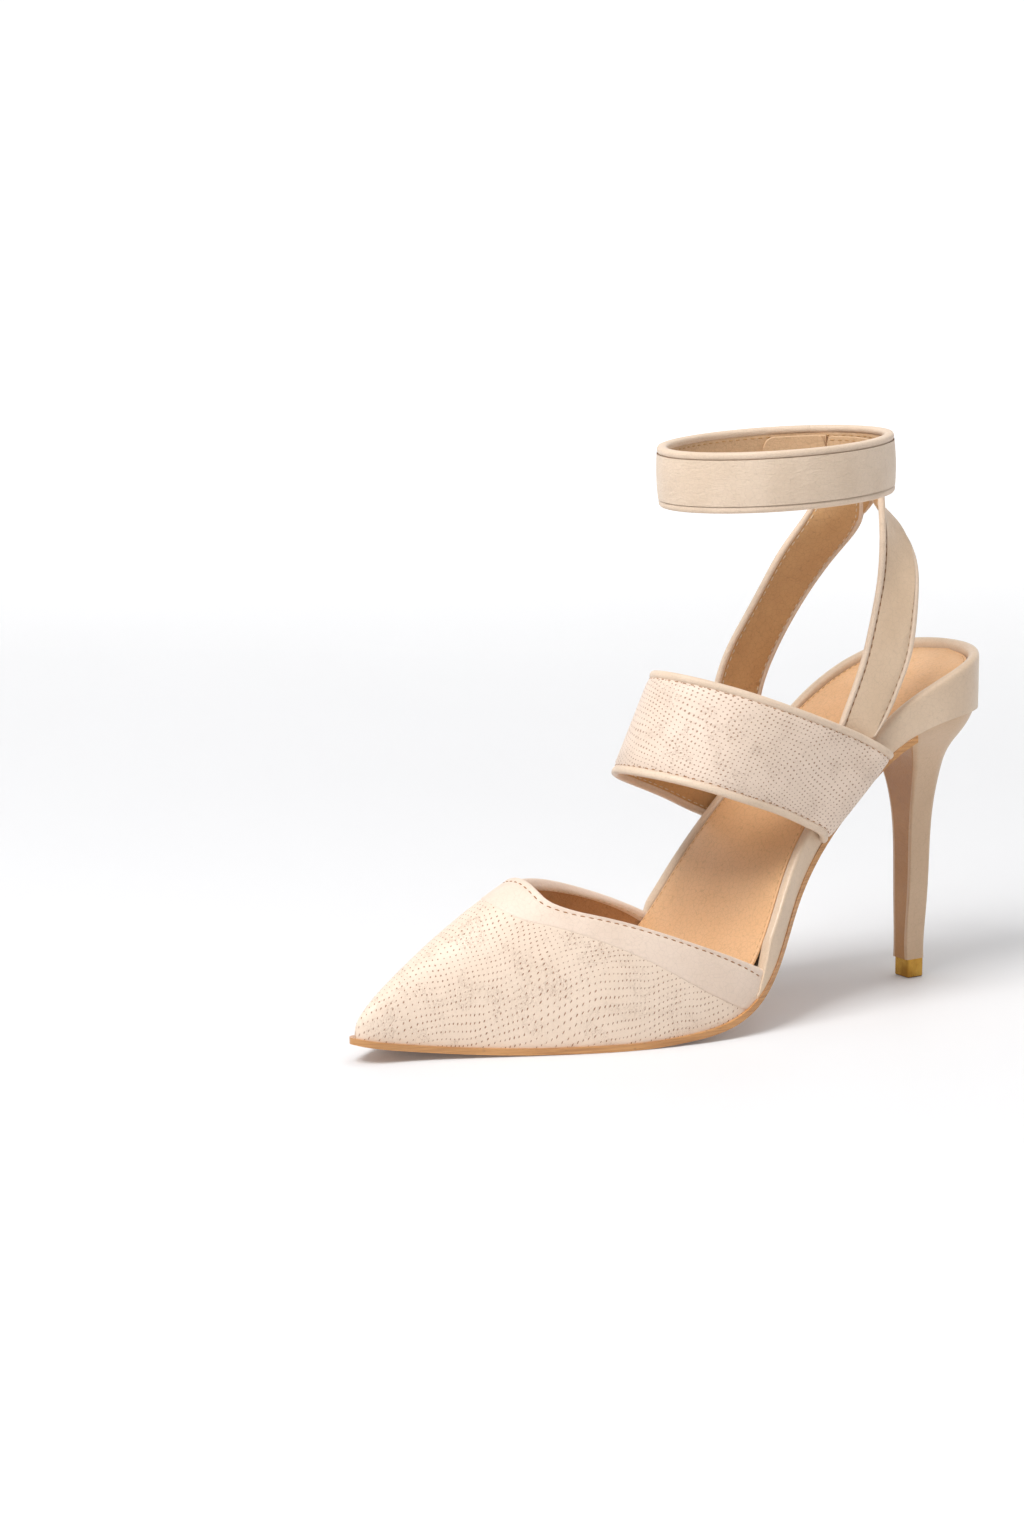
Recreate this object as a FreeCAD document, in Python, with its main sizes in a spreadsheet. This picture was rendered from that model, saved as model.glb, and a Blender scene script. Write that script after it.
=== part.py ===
import FreeCAD, Part
import math
import os
from FreeCAD import Placement, Rotation, Vector

# Left court shoe with an instep strap, two back slings and a closed ankle band.
# Frame: millimetres, +Z up, toe towards -Y, outer (lateral) side towards +X.
# The origin is on the ground at the centre of the heel tip.

doc = FreeCAD.newDocument("ankle_band_pump")
sheet = doc.addObject("Spreadsheet::Sheet", "Sizes")

DRIVING_SIZES = [
    ("outsole_thick", 2.0, "leather outsole"),
    ("margin_thick", 1.2, "lasting margin folded under the insole board"),
    ("margin_width", 12.0, "outline to the inner edge of the lasting margin"),
    ("board_thick", 2.0, "insole board"),
    ("sock_thick", 0.9, "leather sock lining"),
    ("rim_inset", 0.4, "outline to the outer face of the wrapped rim"),
    ("core_inset", 4.0, "outline to the insole board, pad and sock"),
    ("feather_inset", 1.0, "outline to the vamp at the feather line"),
    ("upper_thick", 1.2, "vamp leather"),
    ("backer_thick", 0.5, "toe puff, and the interlining behind it"),
    ("lining_thick", 0.8, "vamp lining"),
    ("breast_line", -18.5, "y of the heel breast under the seat"),
    ("shank_width", 10.0, "steel shank spring"),
    ("cover_thick", 0.8, "leather cover of the heel"),
    ("tip_width", 7.4, "heel tip, side to side"),
    ("tip_depth", 6.6, "heel tip, front to back"),
    ("tip_height", 6.2, "brass ferrule"),
    ("tip_wall", 0.5, "wall of the brass ferrule"),
    ("lift_show", 0.4, "top lift below the ferrule"),
    ("lift_height", 3.2, "top lift"),
    ("tube_radius", 2.1, "steel tube in the heel"),
    ("tube_length", 44.0, "steel tube in the heel"),
    ("pin_radius", 1.1, "spigot of the top lift"),
    ("pin_length", 12.0, "spigot of the top lift"),
    ("screw_radius", 2.0, "heel screw"),
    ("screw_length", 24.0, "heel screw"),
    ("nail_radius", 0.9, "heel nails"),
    ("nail_length", 13.0, "heel nails"),
    ("strap_leather", 1.3, "outer leather of the instep strap"),
    ("strap_lining", 0.8, "lining of the instep strap"),
    ("sling_leather", 1.0, "outer leather of the back slings"),
    ("sling_lining", 0.8, "lining of the back slings"),
    ("glue_line", 0.03, "between the layers and the edges of a strap"),
    ("edge_width", 2.4, "rolled edges of the straps"),
    ("band_half_width", 30.6, "ankle band, half of its outside width"),
    ("band_half_length", 39.2, "ankle band, half of its outside length"),
    ("band_height", 18.3, "ankle band"),
    ("band_leather", 1.1, "outer leather of the band"),
    ("band_padding", 0.7, "thin foam in the band"),
    ("band_lining", 1.0, "lining of the band"),
    ("tape_thick", 0.5, "hook tape and loop tape"),
    ("tape_gap", 0.2, "between the two tapes"),
    ("tab_thick", 0.8, "closure tab"),
    ("band_centre_y", -57.1, "centre of the band"),
    ("band_bottom_z", 159.1, "lower edge of the band at its centre"),
    ("band_tilt", 2.9, "degrees that the band rises to the rear"),
    ("hinge_angle", 267.8, "place of the flap's fold on the band, degrees from +X"),
    ("flap_end_angle", 132.0, "place of the flap's free end on the band"),
    ("fold_gap", 0.4, "half gap at the fold and at the free end, degrees"),
    ("cut_width", 140.0, "width of the cutting solids"),
    ("column_height", 230.0, "height of the cutting solids"),
]
for row, (alias, value, meaning) in enumerate(DRIVING_SIZES, 1):
    sheet.set(f"A{row}", meaning)
    sheet.set(f"B{row}", str(value))
    sheet.setAlias(f"B{row}", alias)
doc.recompute()


def size(alias):
    return float(sheet.get(alias))


# ---------------------------------------------------------------- outlines
# Plan outline of the sole, from the toe tip down the outer side to the heel and back up the inner side.
OUTLINE = [
    (-5.9, -207.0), (-2.4, -203.6), (0.4, -195.0), (6.4, -178.0), (17.4, -154.5), (27.2, -130.0),
    (31.4, -111.0), (33.0, -97.0), (32.4, -85.0), (29.2, -75.0), (25.2, -66.0), (22.9, -56.0),
    (22.2, -42.0), (22.5, -28.0), (24.2, -14.0), (24.4, -3.0), (20.6, 8.0), (12.0, 15.4), (-1.0, 18.2),
    (-14.0, 15.4), (-23.0, 8.0), (-27.0, -4.0), (-27.6, -18.0), (-27.6, -36.0), (-28.2, -52.0),
    (-31.0, -69.0), (-36.6, -86.0), (-39.4, -103.0), (-39.6, -120.0), (-36.8, -140.0),
    (-29.6, -167.0), (-19.8, -189.5), (-11.4, -203.2),
]
# Side view, toe to heel: y, z of the outsole's underside, and how far the rim and the sock stand off it.
PROFILE = [
    (-222.0, 9.0, 7.0, 6.7), (-207.0, 5.8, 7.0, 6.7), (-192.0, 3.1, 7.0, 6.7), (-172.0, 0.9, 7.0, 6.7),
    (-155.0, 0.1, 7.0, 6.8), (-140.0, 0.0, 7.1, 6.8), (-124.0, 0.1, 7.3, 6.9), (-110.0, 1.1, 7.8, 7.4),
    (-98.0, 3.2, 8.4, 8.0), (-88.0, 7.8, 9.0, 8.6), (-79.5, 15.6, 9.2, 8.8), (-72.5, 25.6, 9.2, 8.8),
    (-66.0, 36.4, 9.2, 8.8), (-59.5, 45.8, 9.2, 8.8), (-51.0, 55.8, 9.2, 8.8), (-40.0, 66.6, 9.4, 8.9),
    (-29.0, 75.8, 10.2, 9.4), (-18.0, 82.4, 12.2, 10.6), (-6.0, 86.2, 15.2, 13.2),
    (8.0, 87.8, 19.0, 16.6), (22.0, 88.4, 21.4, 18.6), (34.0, 88.8, 22.4, 19.4),
]


def spline(points, closed=False):
    curve = Part.BSplineCurve()
    curve.interpolate(Points=points, PeriodicFlag=closed)
    return curve


under_curve = spline([Vector(0, y, z) for y, z, rim, sock in PROFILE])


def stand_off(distances):
    """Curve that stands off the outsole's underside by one distance at each profile station."""
    points = []
    for (y, z, rim, sock), distance in zip(PROFILE, distances):
        along = under_curve.tangent(under_curve.parameter(Vector(0, y, z)))[0]
        points.append(Vector(0, y - along.z * distance, z + along.y * distance))
    return spline(points)


def level(distance):
    return stand_off([distance] * len(PROFILE))


def curve_height(curve, y):
    """z of a side-view curve at y, found by halving the parameter range."""
    low, high = curve.FirstParameter, curve.LastParameter
    for _ in range(40):
        middle = (low + high) / 2
        if curve.value(middle).y < y:
            low = middle
        else:
            high = middle
    return curve.value(low).z


margin_base = size("outsole_thick")
board_base = margin_base + size("margin_thick")
pad_base = board_base + size("board_thick")
rim_curve = stand_off([rim for y, z, rim, sock in PROFILE])
sock_curve = stand_off([sock for y, z, rim, sock in PROFILE])
pad_top_curve = stand_off([sock - size("sock_thick") for y, z, rim, sock in PROFILE])


# ---------------------------------------------------------------- document helpers
nodes = []


def keep(item, label):
    item.Label = label
    nodes.append(item)
    return item


def shape_feature(name, shape):
    item = doc.addObject("Part::Feature", name)
    item.Shape = shape
    return item


def extrusion(name, profile, direction, length_alias, symmetric):
    item = doc.addObject("Part::Extrusion", name)
    item.Base = profile
    item.DirMode = "Custom"
    item.Dir = direction
    item.Solid = True
    item.Symmetric = symmetric
    item.setExpression("LengthFwd", f"Sizes.{length_alias}")
    return item


def common(name, *items):
    item = doc.addObject("Part::MultiCommon", name)
    item.Shapes = list(items)
    return item


def fuse(name, *items):
    item = doc.addObject("Part::MultiFuse", name)
    item.Shapes = list(items)
    return item


def cut(name, base, tool):
    item = doc.addObject("Part::Cut", name)
    item.Base = base
    item.Tool = tool
    return item


def box(name, low, high):
    item = doc.addObject("Part::Box", name)
    item.Length, item.Width, item.Height = [b - a for a, b in zip(low, high)]
    item.Placement = Placement(Vector(*low), Rotation())
    return item


def cylinder(name, radius_alias, length_alias, placement):
    item = doc.addObject("Part::Cylinder", name)
    item.setExpression("Radius", f"Sizes.{radius_alias}")
    item.setExpression("Height", f"Sizes.{length_alias}")
    item.Placement = placement
    return item


def side_region(name, lower, upper):
    """Solid between two side-view curves, as wide as the cutting solids."""
    first, last = lower.StartPoint, lower.EndPoint
    edges = [
        lower.toShape(),
        Part.makeLine(last, upper.EndPoint),
        upper.toShape(),
        Part.makeLine(upper.StartPoint, first),
    ]
    face = shape_feature(name + "_face", Part.Face(Part.Wire(Part.__sortEdges__(edges))))
    return extrusion(name, face, Vector(1, 0, 0), "cut_width", True)


def beyond(name, line, far_z):
    """Solid from a side-view curve straight up, or down, to the height far_z."""
    front, back = line.StartPoint, line.EndPoint
    corners = [back, Vector(0, back.y, far_z), Vector(0, front.y, far_z), front]
    edges = [line.toShape()] + [Part.makeLine(a, b) for a, b in zip(corners, corners[1:])]
    face = shape_feature(name + "_face", Part.Face(Part.Wire(edges)))
    return extrusion(name, face, Vector(1, 0, 0), "cut_width", True)


BASE_Z = -5.0
outline_curve = spline([Vector(x, y, BASE_Z) for x, y in OUTLINE], True)
OUTLINE_STEPS = 72


def inset_wire(inset):
    """Plan outline drawn in by inset. Places where it would cross itself are left out."""
    if inset == 0:
        return Part.Wire([outline_curve.toShape()])
    edge = outline_curve.toShape()
    first, last = outline_curve.FirstParameter, outline_curve.LastParameter
    points = []
    for step in range(OUTLINE_STEPS):
        at = first + (last - first) * step / OUTLINE_STEPS
        along = outline_curve.tangent(at)[0]
        inward = Vector(-along.y, along.x, 0)
        moved = outline_curve.value(at) + inward * inset
        if Part.Vertex(moved).distToShape(edge)[0] > inset * 0.995:
            points.append(moved)
    return Part.Wire([spline(points, True).toShape()])


def column(name, inset):
    """Upright solid inside the plan outline drawn in by inset."""
    face = shape_feature(name + "_face", Part.Face(inset_wire(inset)))
    return extrusion(name, face, Vector(0, 0, 1), "column_height", False)


full_column = column("full_column", 0)
rim_column = column("rim_column", size("rim_inset"))
core_column = column("core_column", size("core_inset"))
margin_column = column("margin_column", size("margin_width"))

under_level, margin_level, board_level, pad_level = [
    level(d) for d in (0, margin_base, board_base, pad_base)
]

# ---------------------------------------------------------------- topline and seam of the vamp
# Side view of the vamp's top edge and of the seam below it, from the throat down to the sole.
TOPLINE = [(-147.6, 48.6), (-146.6, 45.6), (-143.0, 43.5), (-133.0, 41.2), (-122.0, 38.2), (-108.0, 33.2),
           (-94.0, 27.6), (-80.0, 20.5), (-70.0, 13.5)]
SEAM = [(-160.0, 42.2), (-155.8, 39.8), (-149.0, 38.4), (-138.0, 35.2), (-126.0, 30.2), (-114.0, 23.6),
        (-102.0, 16.6), (-90.0, 10.8), (-78.0, 6.0)]
SIDE_LEAN = Vector(1, 0, -0.10)  # the inner side of the topline stands higher than the outer side
SKY = 140.0


def above_line(name, points):
    """Solid above and behind a line drawn in side view."""
    line = spline([Vector(0, y, z) for y, z in points])
    top_front = Vector(0, points[0][0], SKY)
    top_back = Vector(0, 60, SKY)
    low_back = Vector(0, 60, points[-1][1])
    corners = [line.EndPoint, low_back, top_back, top_front, line.StartPoint]
    edges = [line.toShape()] + [Part.makeLine(a, b) for a, b in zip(corners, corners[1:])]
    face = shape_feature(name + "_face", Part.Face(Part.Wire(edges)))
    return extrusion(name, face, SIDE_LEAN, "cut_width", True)


open_foot = above_line("open_foot", TOPLINE)
above_seam = above_line("above_seam", SEAM)

# ---------------------------------------------------------------- sole layers
whole_layer = side_region("outsole_layer", under_level, margin_level)
margin_layer = side_region("margin_layer", margin_level, board_level)
board_layer = side_region("board_layer", board_level, pad_level)
pad_layer = side_region("pad_layer", pad_level, pad_top_curve)
sock_layer = side_region("sock_layer", pad_top_curve, sock_curve)
rim_layer = side_region("rim_layer", margin_level, rim_curve)
heel_region = beyond("heel_region", margin_level, -20.0)
behind_breast = box("behind_breast", (-60, size("breast_line"), -10), (60, 60, 160))
foot_region = beyond("foot_region", margin_level, SKY)
above_margin = beyond("above_margin", board_level, SKY)


# ---------------------------------------------------------------- vamp
# Ridge of the vamp: distance behind the toe tip, height above the ground.
RIDGE = [(0.35, 11.2), (1.4, 13.0), (4.2, 15.8), (11.0, 20.6), (24.0, 29.0), (40.0, 38.8),
         (57.5, 48.4), (78.0, 58.0), (100.0, 66.5), (122.0, 74.0), (140.0, 80.0)]
RIDGE_SHARE = 0.54  # place of the ridge across the width, from the inner side
RIDGE_STEPS = 8
BURIED = 0.6  # the arch of each section starts this far below the feather line


def width_at(wire, y):
    """Inner and outer x of a plan wire at y."""
    line = Part.makeLine(Vector(-80, y, BASE_Z), Vector(80, y, BASE_Z))
    hits = [v.X for v in wire.section(line).Vertexes]
    return min(hits), max(hits)


def vamp_section(feather, y, ridge_z, inset, floor_drop):
    inner, outer = width_at(feather, y)
    ridge_x = inner + (outer - inner) * RIDGE_SHARE
    foot_z = curve_height(margin_level, y) - BURIED
    rise = ridge_z - inset - foot_z
    arch = []
    for step in range(RIDGE_STEPS + 1):
        turn = math.pi * step / RIDGE_STEPS
        reach = (outer - ridge_x) if turn < math.pi / 2 else (ridge_x - inner)
        arch.append(Vector(ridge_x + reach * math.cos(turn), y, foot_z + rise * math.sin(turn)))
    low_inner = Vector(inner, y, foot_z - floor_drop)
    low_outer = Vector(outer, y, foot_z - floor_drop)
    edges = [
        spline(arch).toShape(),
        Part.makeLine(arch[-1], low_inner),
        Part.makeLine(low_inner, low_outer),
        Part.makeLine(low_outer, arch[0]),
    ]
    return Part.Wire(edges)


def vamp_last(name, inset):
    """Solid inside the vamp's skin at one depth."""
    feather = inset_wire(size("feather_inset") + inset)
    tip_y = min(point.y for point in feather.discretize(2000))
    loft = doc.addObject("Part::Loft", name)
    sections = []
    for index, (behind_tip, ridge_z) in enumerate(RIDGE):
        section = vamp_section(feather, tip_y + behind_tip, ridge_z, inset, 3.0 + inset)
        sections.append(shape_feature(f"{name}_section_{index}", section))
    loft.Sections = sections
    loft.Solid = True
    loft.Ruled = False
    return common(name + "_above_sole", loft, foot_region) if inset == 0 else loft


leather_depth = size("upper_thick")
backer_depth = leather_depth + size("backer_thick")
lining_depth = backer_depth + size("lining_thick")
last_0, last_1, last_2, last_3 = [
    vamp_last(f"last_{step}", depth)
    for step, depth in enumerate((0, leather_depth, backer_depth, lining_depth))
]

leather_skin = cut("leather_skin", last_0, last_1)
leather_low = cut("leather_low", leather_skin, open_foot)
vamp_band = common("vamp_band_raw", leather_low, above_seam)
keep(vamp_band, "vamp_topline_band")
forepart_skin = cut("forepart_skin", leather_low, above_seam)

front_half = box("front_half", (-60, -240, -10), (60, -84, 160))
fold_column = column("fold_column", size("feather_inset") + leather_depth / 2)
margin_plate = common("margin_plate", margin_layer, fold_column, front_half)
margin_ring = cut("margin_ring", margin_plate, margin_column)
margin_fold = cut("margin_fold", margin_ring, above_seam)
keep(fuse("forepart_whole", forepart_skin, margin_fold), "vamp_forepart")

backer_skin = common("backer_skin", cut("backer_hollow", last_1, last_2), above_margin)
backer_low = cut("backer_low", backer_skin, open_foot)
toe_end = box("toe_end", (-60, -240, -10), (60, -172, 160))
keep(common("toe_puff_raw", backer_low, toe_end), "toe_puff")
keep(cut("vamp_interlining_raw", backer_low, toe_end), "vamp_interlining")
lining_skin = common("lining_skin", cut("lining_hollow", last_2, last_3), above_margin)
keep(cut("vamp_lining_raw", lining_skin, open_foot), "vamp_lining")

# ---------------------------------------------------------------- sole stack
outsole_whole = common("outsole_whole", full_column, whole_layer)
keep(cut("outsole_raw", outsole_whole, behind_breast), "outsole")

FILLER_END = -88.0
filler_zone = box("filler_zone", (-60, -240, -10), (60, FILLER_END, 160))
keep(common("bottom_filler_raw", margin_layer, margin_column, filler_zone), "bottom_filler")

SHANK_FROM, SHANK_TO = -80.0, -2.0
shank_strip = doc.addObject("Part::Box", "shank_strip")
shank_strip.setExpression("Length", "Sizes.shank_width")
shank_strip.Width = SHANK_TO - SHANK_FROM
shank_strip.Height = SKY
shank_strip.Placement = Placement(Vector(-size("shank_width") / 2, SHANK_FROM, 0), Rotation())
keep(common("shank_spring_raw", margin_layer, shank_strip), "shank_spring")

wall = cut("rim_wall", common("rim_block", rim_column, rim_layer), core_column)
rear_zone = box("rear_zone", (-60, -84, -10), (60, 60, 160))
rear_margin = cut(
    "rear_margin", common("rear_margin_plate", margin_layer, rim_column, rear_zone), margin_column
)
rim_parts = fuse("rim_parts", wall, rear_margin)
keep(common("rim_wrap_raw", rim_parts, open_foot), "rim_wrap")

# ---------------------------------------------------------------- heel
# Heel sections from the ground up: z, centre x, half width, y of the front and back faces, corner radius.
HEEL = [
    (5.0, 0.0, 3.0, -3.4, 2.5, 0.6), (24.0, 0.0, 3.2, -3.6, 3.1, 0.7), (44.0, 0.0, 3.8, -3.8, 3.5, 0.9),
    (57.0, 0.0, 5.0, -4.5, 4.0, 1.8), (68.0, -0.2, 7.8, -5.9, 5.0, 3.4), (76.5, -0.6, 12.2, -9.4, 6.4, 5.8),
    (82.5, -1.1, 18.4, -14.6, 8.6, 9.4), (88.0, -1.4, 22.6, -17.2, 11.8, 14.0),
    (95.0, -1.4, 23.8, -17.6, 14.6, 16.6),
]
FRONT_CORNER_SHARE = 0.28


def rounded_box(z, centre_x, half, front, back, radius):
    """Wire with small front corners and wide back corners."""
    near = radius * FRONT_CORNER_SHARE
    corners = [
        (1, front, near, -45), (1, back, radius, 45), (-1, back, radius, 135), (-1, front, near, 225),
    ]
    arcs = []
    for side, y, r, turn in corners:
        centre = Vector(centre_x + side * (half - r), y + (r if y == front else -r), z)
        start, middle, end = [
            centre + Vector(math.cos(math.radians(a)) * r, math.sin(math.radians(a)) * r, 0)
            for a in (turn - 45, turn, turn + 45)
        ]
        arcs.append((start, middle, end))
    edges = []
    for index, (start, middle, end) in enumerate(arcs):
        edges.append(Part.Arc(start, middle, end).toShape())
        edges.append(Part.makeLine(end, arcs[(index + 1) % 4][0]))
    return Part.Wire(edges)


def heel_loft(name, grow, front_shift=0.0):
    """Heel solid, grown on all sides by one thickness, with its front face moved by front_shift."""
    sections = []
    for index, (z, centre_x, half, front, back, radius) in enumerate(HEEL):
        wire = rounded_box(z, centre_x, half + grow, front - grow + front_shift, back + grow, radius + grow)
        sections.append(shape_feature(f"{name}_section_{index}", wire))
    loft = doc.addObject("Part::Loft", name)
    loft.Sections = sections
    loft.Solid = True
    loft.Ruled = False
    return loft


tip_height = size("tip_height")
heel_bare = heel_loft("heel_bare", 0.0)
heel_covered = heel_loft("heel_covered", size("cover_thick"))
above_tip = box("above_tip", (-60, -60, tip_height), (60, 60, 160))


def upright(z, x=0.0, y=0.0):
    return Placement(Vector(x, y, z), Rotation())


TUBE_FROM = tip_height
tube_outer = cylinder("tube_outer", "tube_radius", "tube_length", upright(TUBE_FROM))
tube_bore = cylinder("tube_bore", "pin_radius", "tube_length", upright(TUBE_FROM))
keep(cut("heel_tube_raw", tube_outer, tube_bore), "heel_tube")

# Screw and nails are driven down through the insole board into the heel.
FASTENER_TOP = curve_height(pad_level, 0.0) - 0.6
screw_shank = cylinder(
    "screw_shank", "screw_radius", "screw_length", upright(FASTENER_TOP - size("screw_length"))
)
screw_head = doc.addObject("Part::Cone", "screw_head")
screw_head.setExpression("Radius1", "Sizes.screw_radius")
screw_head.setExpression("Radius2", "Sizes.screw_radius * 1.9")
screw_head.Height = 1.4
screw_head.Placement = upright(FASTENER_TOP - 1.4)
heel_screw = keep(fuse("heel_screw_raw", screw_shank, screw_head), "heel_screw")

NAIL_SPOTS = [(-9.0, -8.0), (7.0, -8.0), (-9.0, 2.6), (7.0, 2.6)]
nails = []
for index, (x, y) in enumerate(NAIL_SPOTS):
    nail_top = curve_height(pad_level, y) - 0.5
    nails.append(
        cylinder(f"nail_{index}", "nail_radius", "nail_length", upright(nail_top - size("nail_length"), x, y))
    )
heel_nails = keep(fuse("heel_nails_raw", *nails), "heel_nails")
fasteners = fuse("fasteners", heel_screw, heel_nails)

core_block = common("core_block", heel_bare, heel_region, above_tip)
core_open = cut("core_open", core_block, tube_outer)
keep(cut("heel_core_raw", core_open, fasteners), "heel_core")

cover_block = common("cover_block", heel_covered, heel_region, above_tip)
cover_shell = cut("cover_shell", cover_block, heel_bare)
breast_slab = heel_loft("breast_slab", -0.4, -3.0)
breast_front = heel_loft("breast_front", -0.4, 0.42)
breast_zone = cut("breast_zone", breast_slab, breast_front)
keep(common("heel_breast_cover_raw", cover_shell, breast_zone), "heel_breast_cover")
keep(cut("heel_cover_raw", cover_shell, breast_zone), "heel_cover")

behind_toe = box("behind_toe", (-60, -197, -10), (60, 60, 160))
behind_puff = box("behind_puff", (-60, -188, -10), (60, 60, 160))
board_whole = common("board_whole", core_column, board_layer, behind_toe)
keep(cut("insole_board_raw", board_whole, fasteners), "insole_board")
keep(common("sock_padding_raw", core_column, pad_layer, behind_puff), "sock_padding")
keep(common("sock_lining_raw", core_column, sock_layer, behind_puff), "sock_lining")


# ---------------------------------------------------------------- heel tip, made as bodies with sketches
def origin_plane(body, role):
    return next(item for item in body.Origin.OriginFeatures if item.Role == role)


def new_sketch(body, name, role="XY_Plane"):
    sketch = body.newObject("Sketcher::SketchObject", name)
    sketch.AttachmentSupport = [(origin_plane(body, role), "")]
    sketch.MapMode = "FlatFace"
    return sketch


def draw_rectangle(sketch, half_x, half_y):
    corners = [Vector(half_x * a, half_y * b, 0) for a, b in ((-1, -1), (1, -1), (1, 1), (-1, 1))]
    for start, end in zip(corners, corners[1:] + corners[:1]):
        sketch.addGeometry(Part.LineSegment(start, end))


def pad(body, name, sketch, length):
    feature = body.newObject("PartDesign::Pad", name)
    feature.Profile = sketch
    feature.setExpression("Length", length)
    doc.recompute()
    return feature


def round_uprights(body, name, source, radius):
    """Rounds the four upright edges of a padded rectangle."""
    picked = []
    for number, edge in enumerate(source.Shape.Edges, 1):
        along = edge.tangentAt(edge.FirstParameter)
        if abs(along.z) > 0.99:
            picked.append(f"Edge{number}")
    fillet = body.newObject("PartDesign::Fillet", name)
    fillet.Base = (source, picked)
    fillet.Radius = radius
    doc.recompute()
    return fillet


TIP_CENTRE_Y = -0.4
tip_body = doc.addObject("PartDesign::Body", "ferrule_body")
tip_sketch = new_sketch(tip_body, "ferrule_outline")
draw_rectangle(tip_sketch, size("tip_width") / 2, size("tip_depth") / 2)
tip_pad = pad(tip_body, "ferrule_pad", tip_sketch, "Sizes.tip_height - Sizes.lift_show")
round_uprights(tip_body, "ferrule_corners", tip_pad, 1.2)
ferrule_well = new_sketch(tip_body, "ferrule_well")
draw_rectangle(ferrule_well, size("tip_width") / 2 - size("tip_wall"), size("tip_depth") / 2 - size("tip_wall"))
well = tip_body.newObject("PartDesign::Pocket", "ferrule_pocket")
well.Profile = ferrule_well
well.setExpression("Length", "Sizes.lift_height - Sizes.lift_show")
well.Reversed = True
tip_bore = new_sketch(tip_body, "ferrule_bore")
tip_bore.addGeometry(Part.Circle(Vector(0, -TIP_CENTRE_Y, 0), Vector(0, 0, 1), size("pin_radius")))
bore = tip_body.newObject("PartDesign::Pocket", "ferrule_bore_cut")
bore.Profile = tip_bore
bore.Type = "ThroughAll"
bore.Reversed = True
tip_body.Placement = upright(size("lift_show"), 0, TIP_CENTRE_Y)
keep(tip_body, "heel_ferrule")

lift_body = doc.addObject("PartDesign::Body", "lift_body")
lift_sketch = new_sketch(lift_body, "lift_outline")
draw_rectangle(lift_sketch, size("tip_width") / 2 - size("tip_wall"), size("tip_depth") / 2 - size("tip_wall"))
lift_pad = pad(lift_body, "lift_pad", lift_sketch, "Sizes.lift_height")
lift_body.Placement = upright(0, 0, TIP_CENTRE_Y)
keep(lift_body, "top_lift")

keep(cylinder("lift_pin_raw", "pin_radius", "pin_length", upright(size("lift_height"))), "lift_pin")


# ---------------------------------------------------------------- straps
# Stations from one end of a strap to the other. Each gives the strap's outer face at its front edge
# and at its rear edge: (x, y, z), (x, y, z).
INSTEP = [
    ((24.6, -56.0, 54.2), (24.4, -28.6, 79.4)),
    ((26.2, -57.6, 56.4), (26.4, -30.6, 80.6)),
    ((27.2, -64.0, 60.4), (27.2, -38.0, 85.0)),
    ((27.3, -75.0, 65.6), (27.1, -51.0, 91.0)),
    ((26.4, -88.0, 70.6), (25.8, -66.0, 97.2)),
    ((22.4, -99.5, 75.0), (21.4, -79.5, 102.6)),
    ((13.0, -108.0, 77.6), (12.0, -91.5, 106.8)),
    ((-1.0, -112.2, 78.0), (-1.0, -98.8, 108.6)),
    ((-15.0, -108.4, 75.8), (-14.4, -94.0, 106.4)),
    ((-25.4, -100.0, 71.8), (-24.6, -82.0, 102.2)),
    ((-31.0, -88.0, 66.8), (-30.6, -68.0, 97.0)),
    ((-32.7, -75.0, 61.0), (-32.6, -52.0, 91.0)),
    ((-32.8, -65.0, 56.0), (-32.7, -39.0, 85.0)),
    ((-32.0, -59.6, 53.0), (-32.2, -31.0, 80.6)),
    ((-30.9, -57.4, 50.8), (-30.4, -29.0, 79.2)),
]
SLING_OUTER = [
    ((22.3, -52.0, 80.8), (24.1, -35.6, 86.2)),
    ((22.4, -48.2, 91.0), (24.1, -30.8, 92.0)),
    ((22.5, -43.6, 101.4), (24.2, -26.2, 100.6)),
    ((22.4, -39.6, 111.5), (24.2, -22.4, 109.2)),
    ((21.3, -35.9, 121.8), (23.2, -19.6, 118.8)),
    ((19.8, -32.0, 132.7), (20.8, -16.9, 129.4)),
    ((18.0, -29.2, 142.4), (15.6, -13.8, 139.2)),
    ((16.2, -27.4, 151.0), (9.2, -14.6, 148.0)),
    ((14.6, -26.4, 158.6), (3.0, -19.4, 156.6)),
    ((13.8, -26.1, 164.0), (1.0, -21.3, 163.2)),
    ((13.8, -26.4, 170.0), (1.0, -21.6, 170.0)),
]
SLING_INNER = [
    ((-29.9, -60.6, 82.0), (-29.9, -41.6, 81.0)),
    ((-29.9, -60.0, 90.4), (-29.9, -40.9, 89.6)),
    ((-29.7, -58.2, 99.2), (-29.7, -38.4, 98.6)),
    ((-28.9, -54.8, 108.4), (-28.9, -34.2, 108.0)),
    ((-27.8, -49.8, 117.4), (-27.4, -29.2, 117.4)),
    ((-25.8, -43.8, 128.6), (-24.2, -22.8, 128.8)),
    ((-22.6, -38.4, 140.0), (-19.0, -17.8, 138.6)),
    ((-18.8, -33.0, 149.4), (-11.4, -15.6, 147.4)),
    ((-15.4, -28.0, 158.6), (-3.6, -19.2, 156.6)),
    ((-13.8, -26.1, 164.0), (-1.0, -21.3, 163.2)),
    ((-13.8, -26.4, 170.0), (-1.0, -21.6, 170.0)),
]


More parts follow.
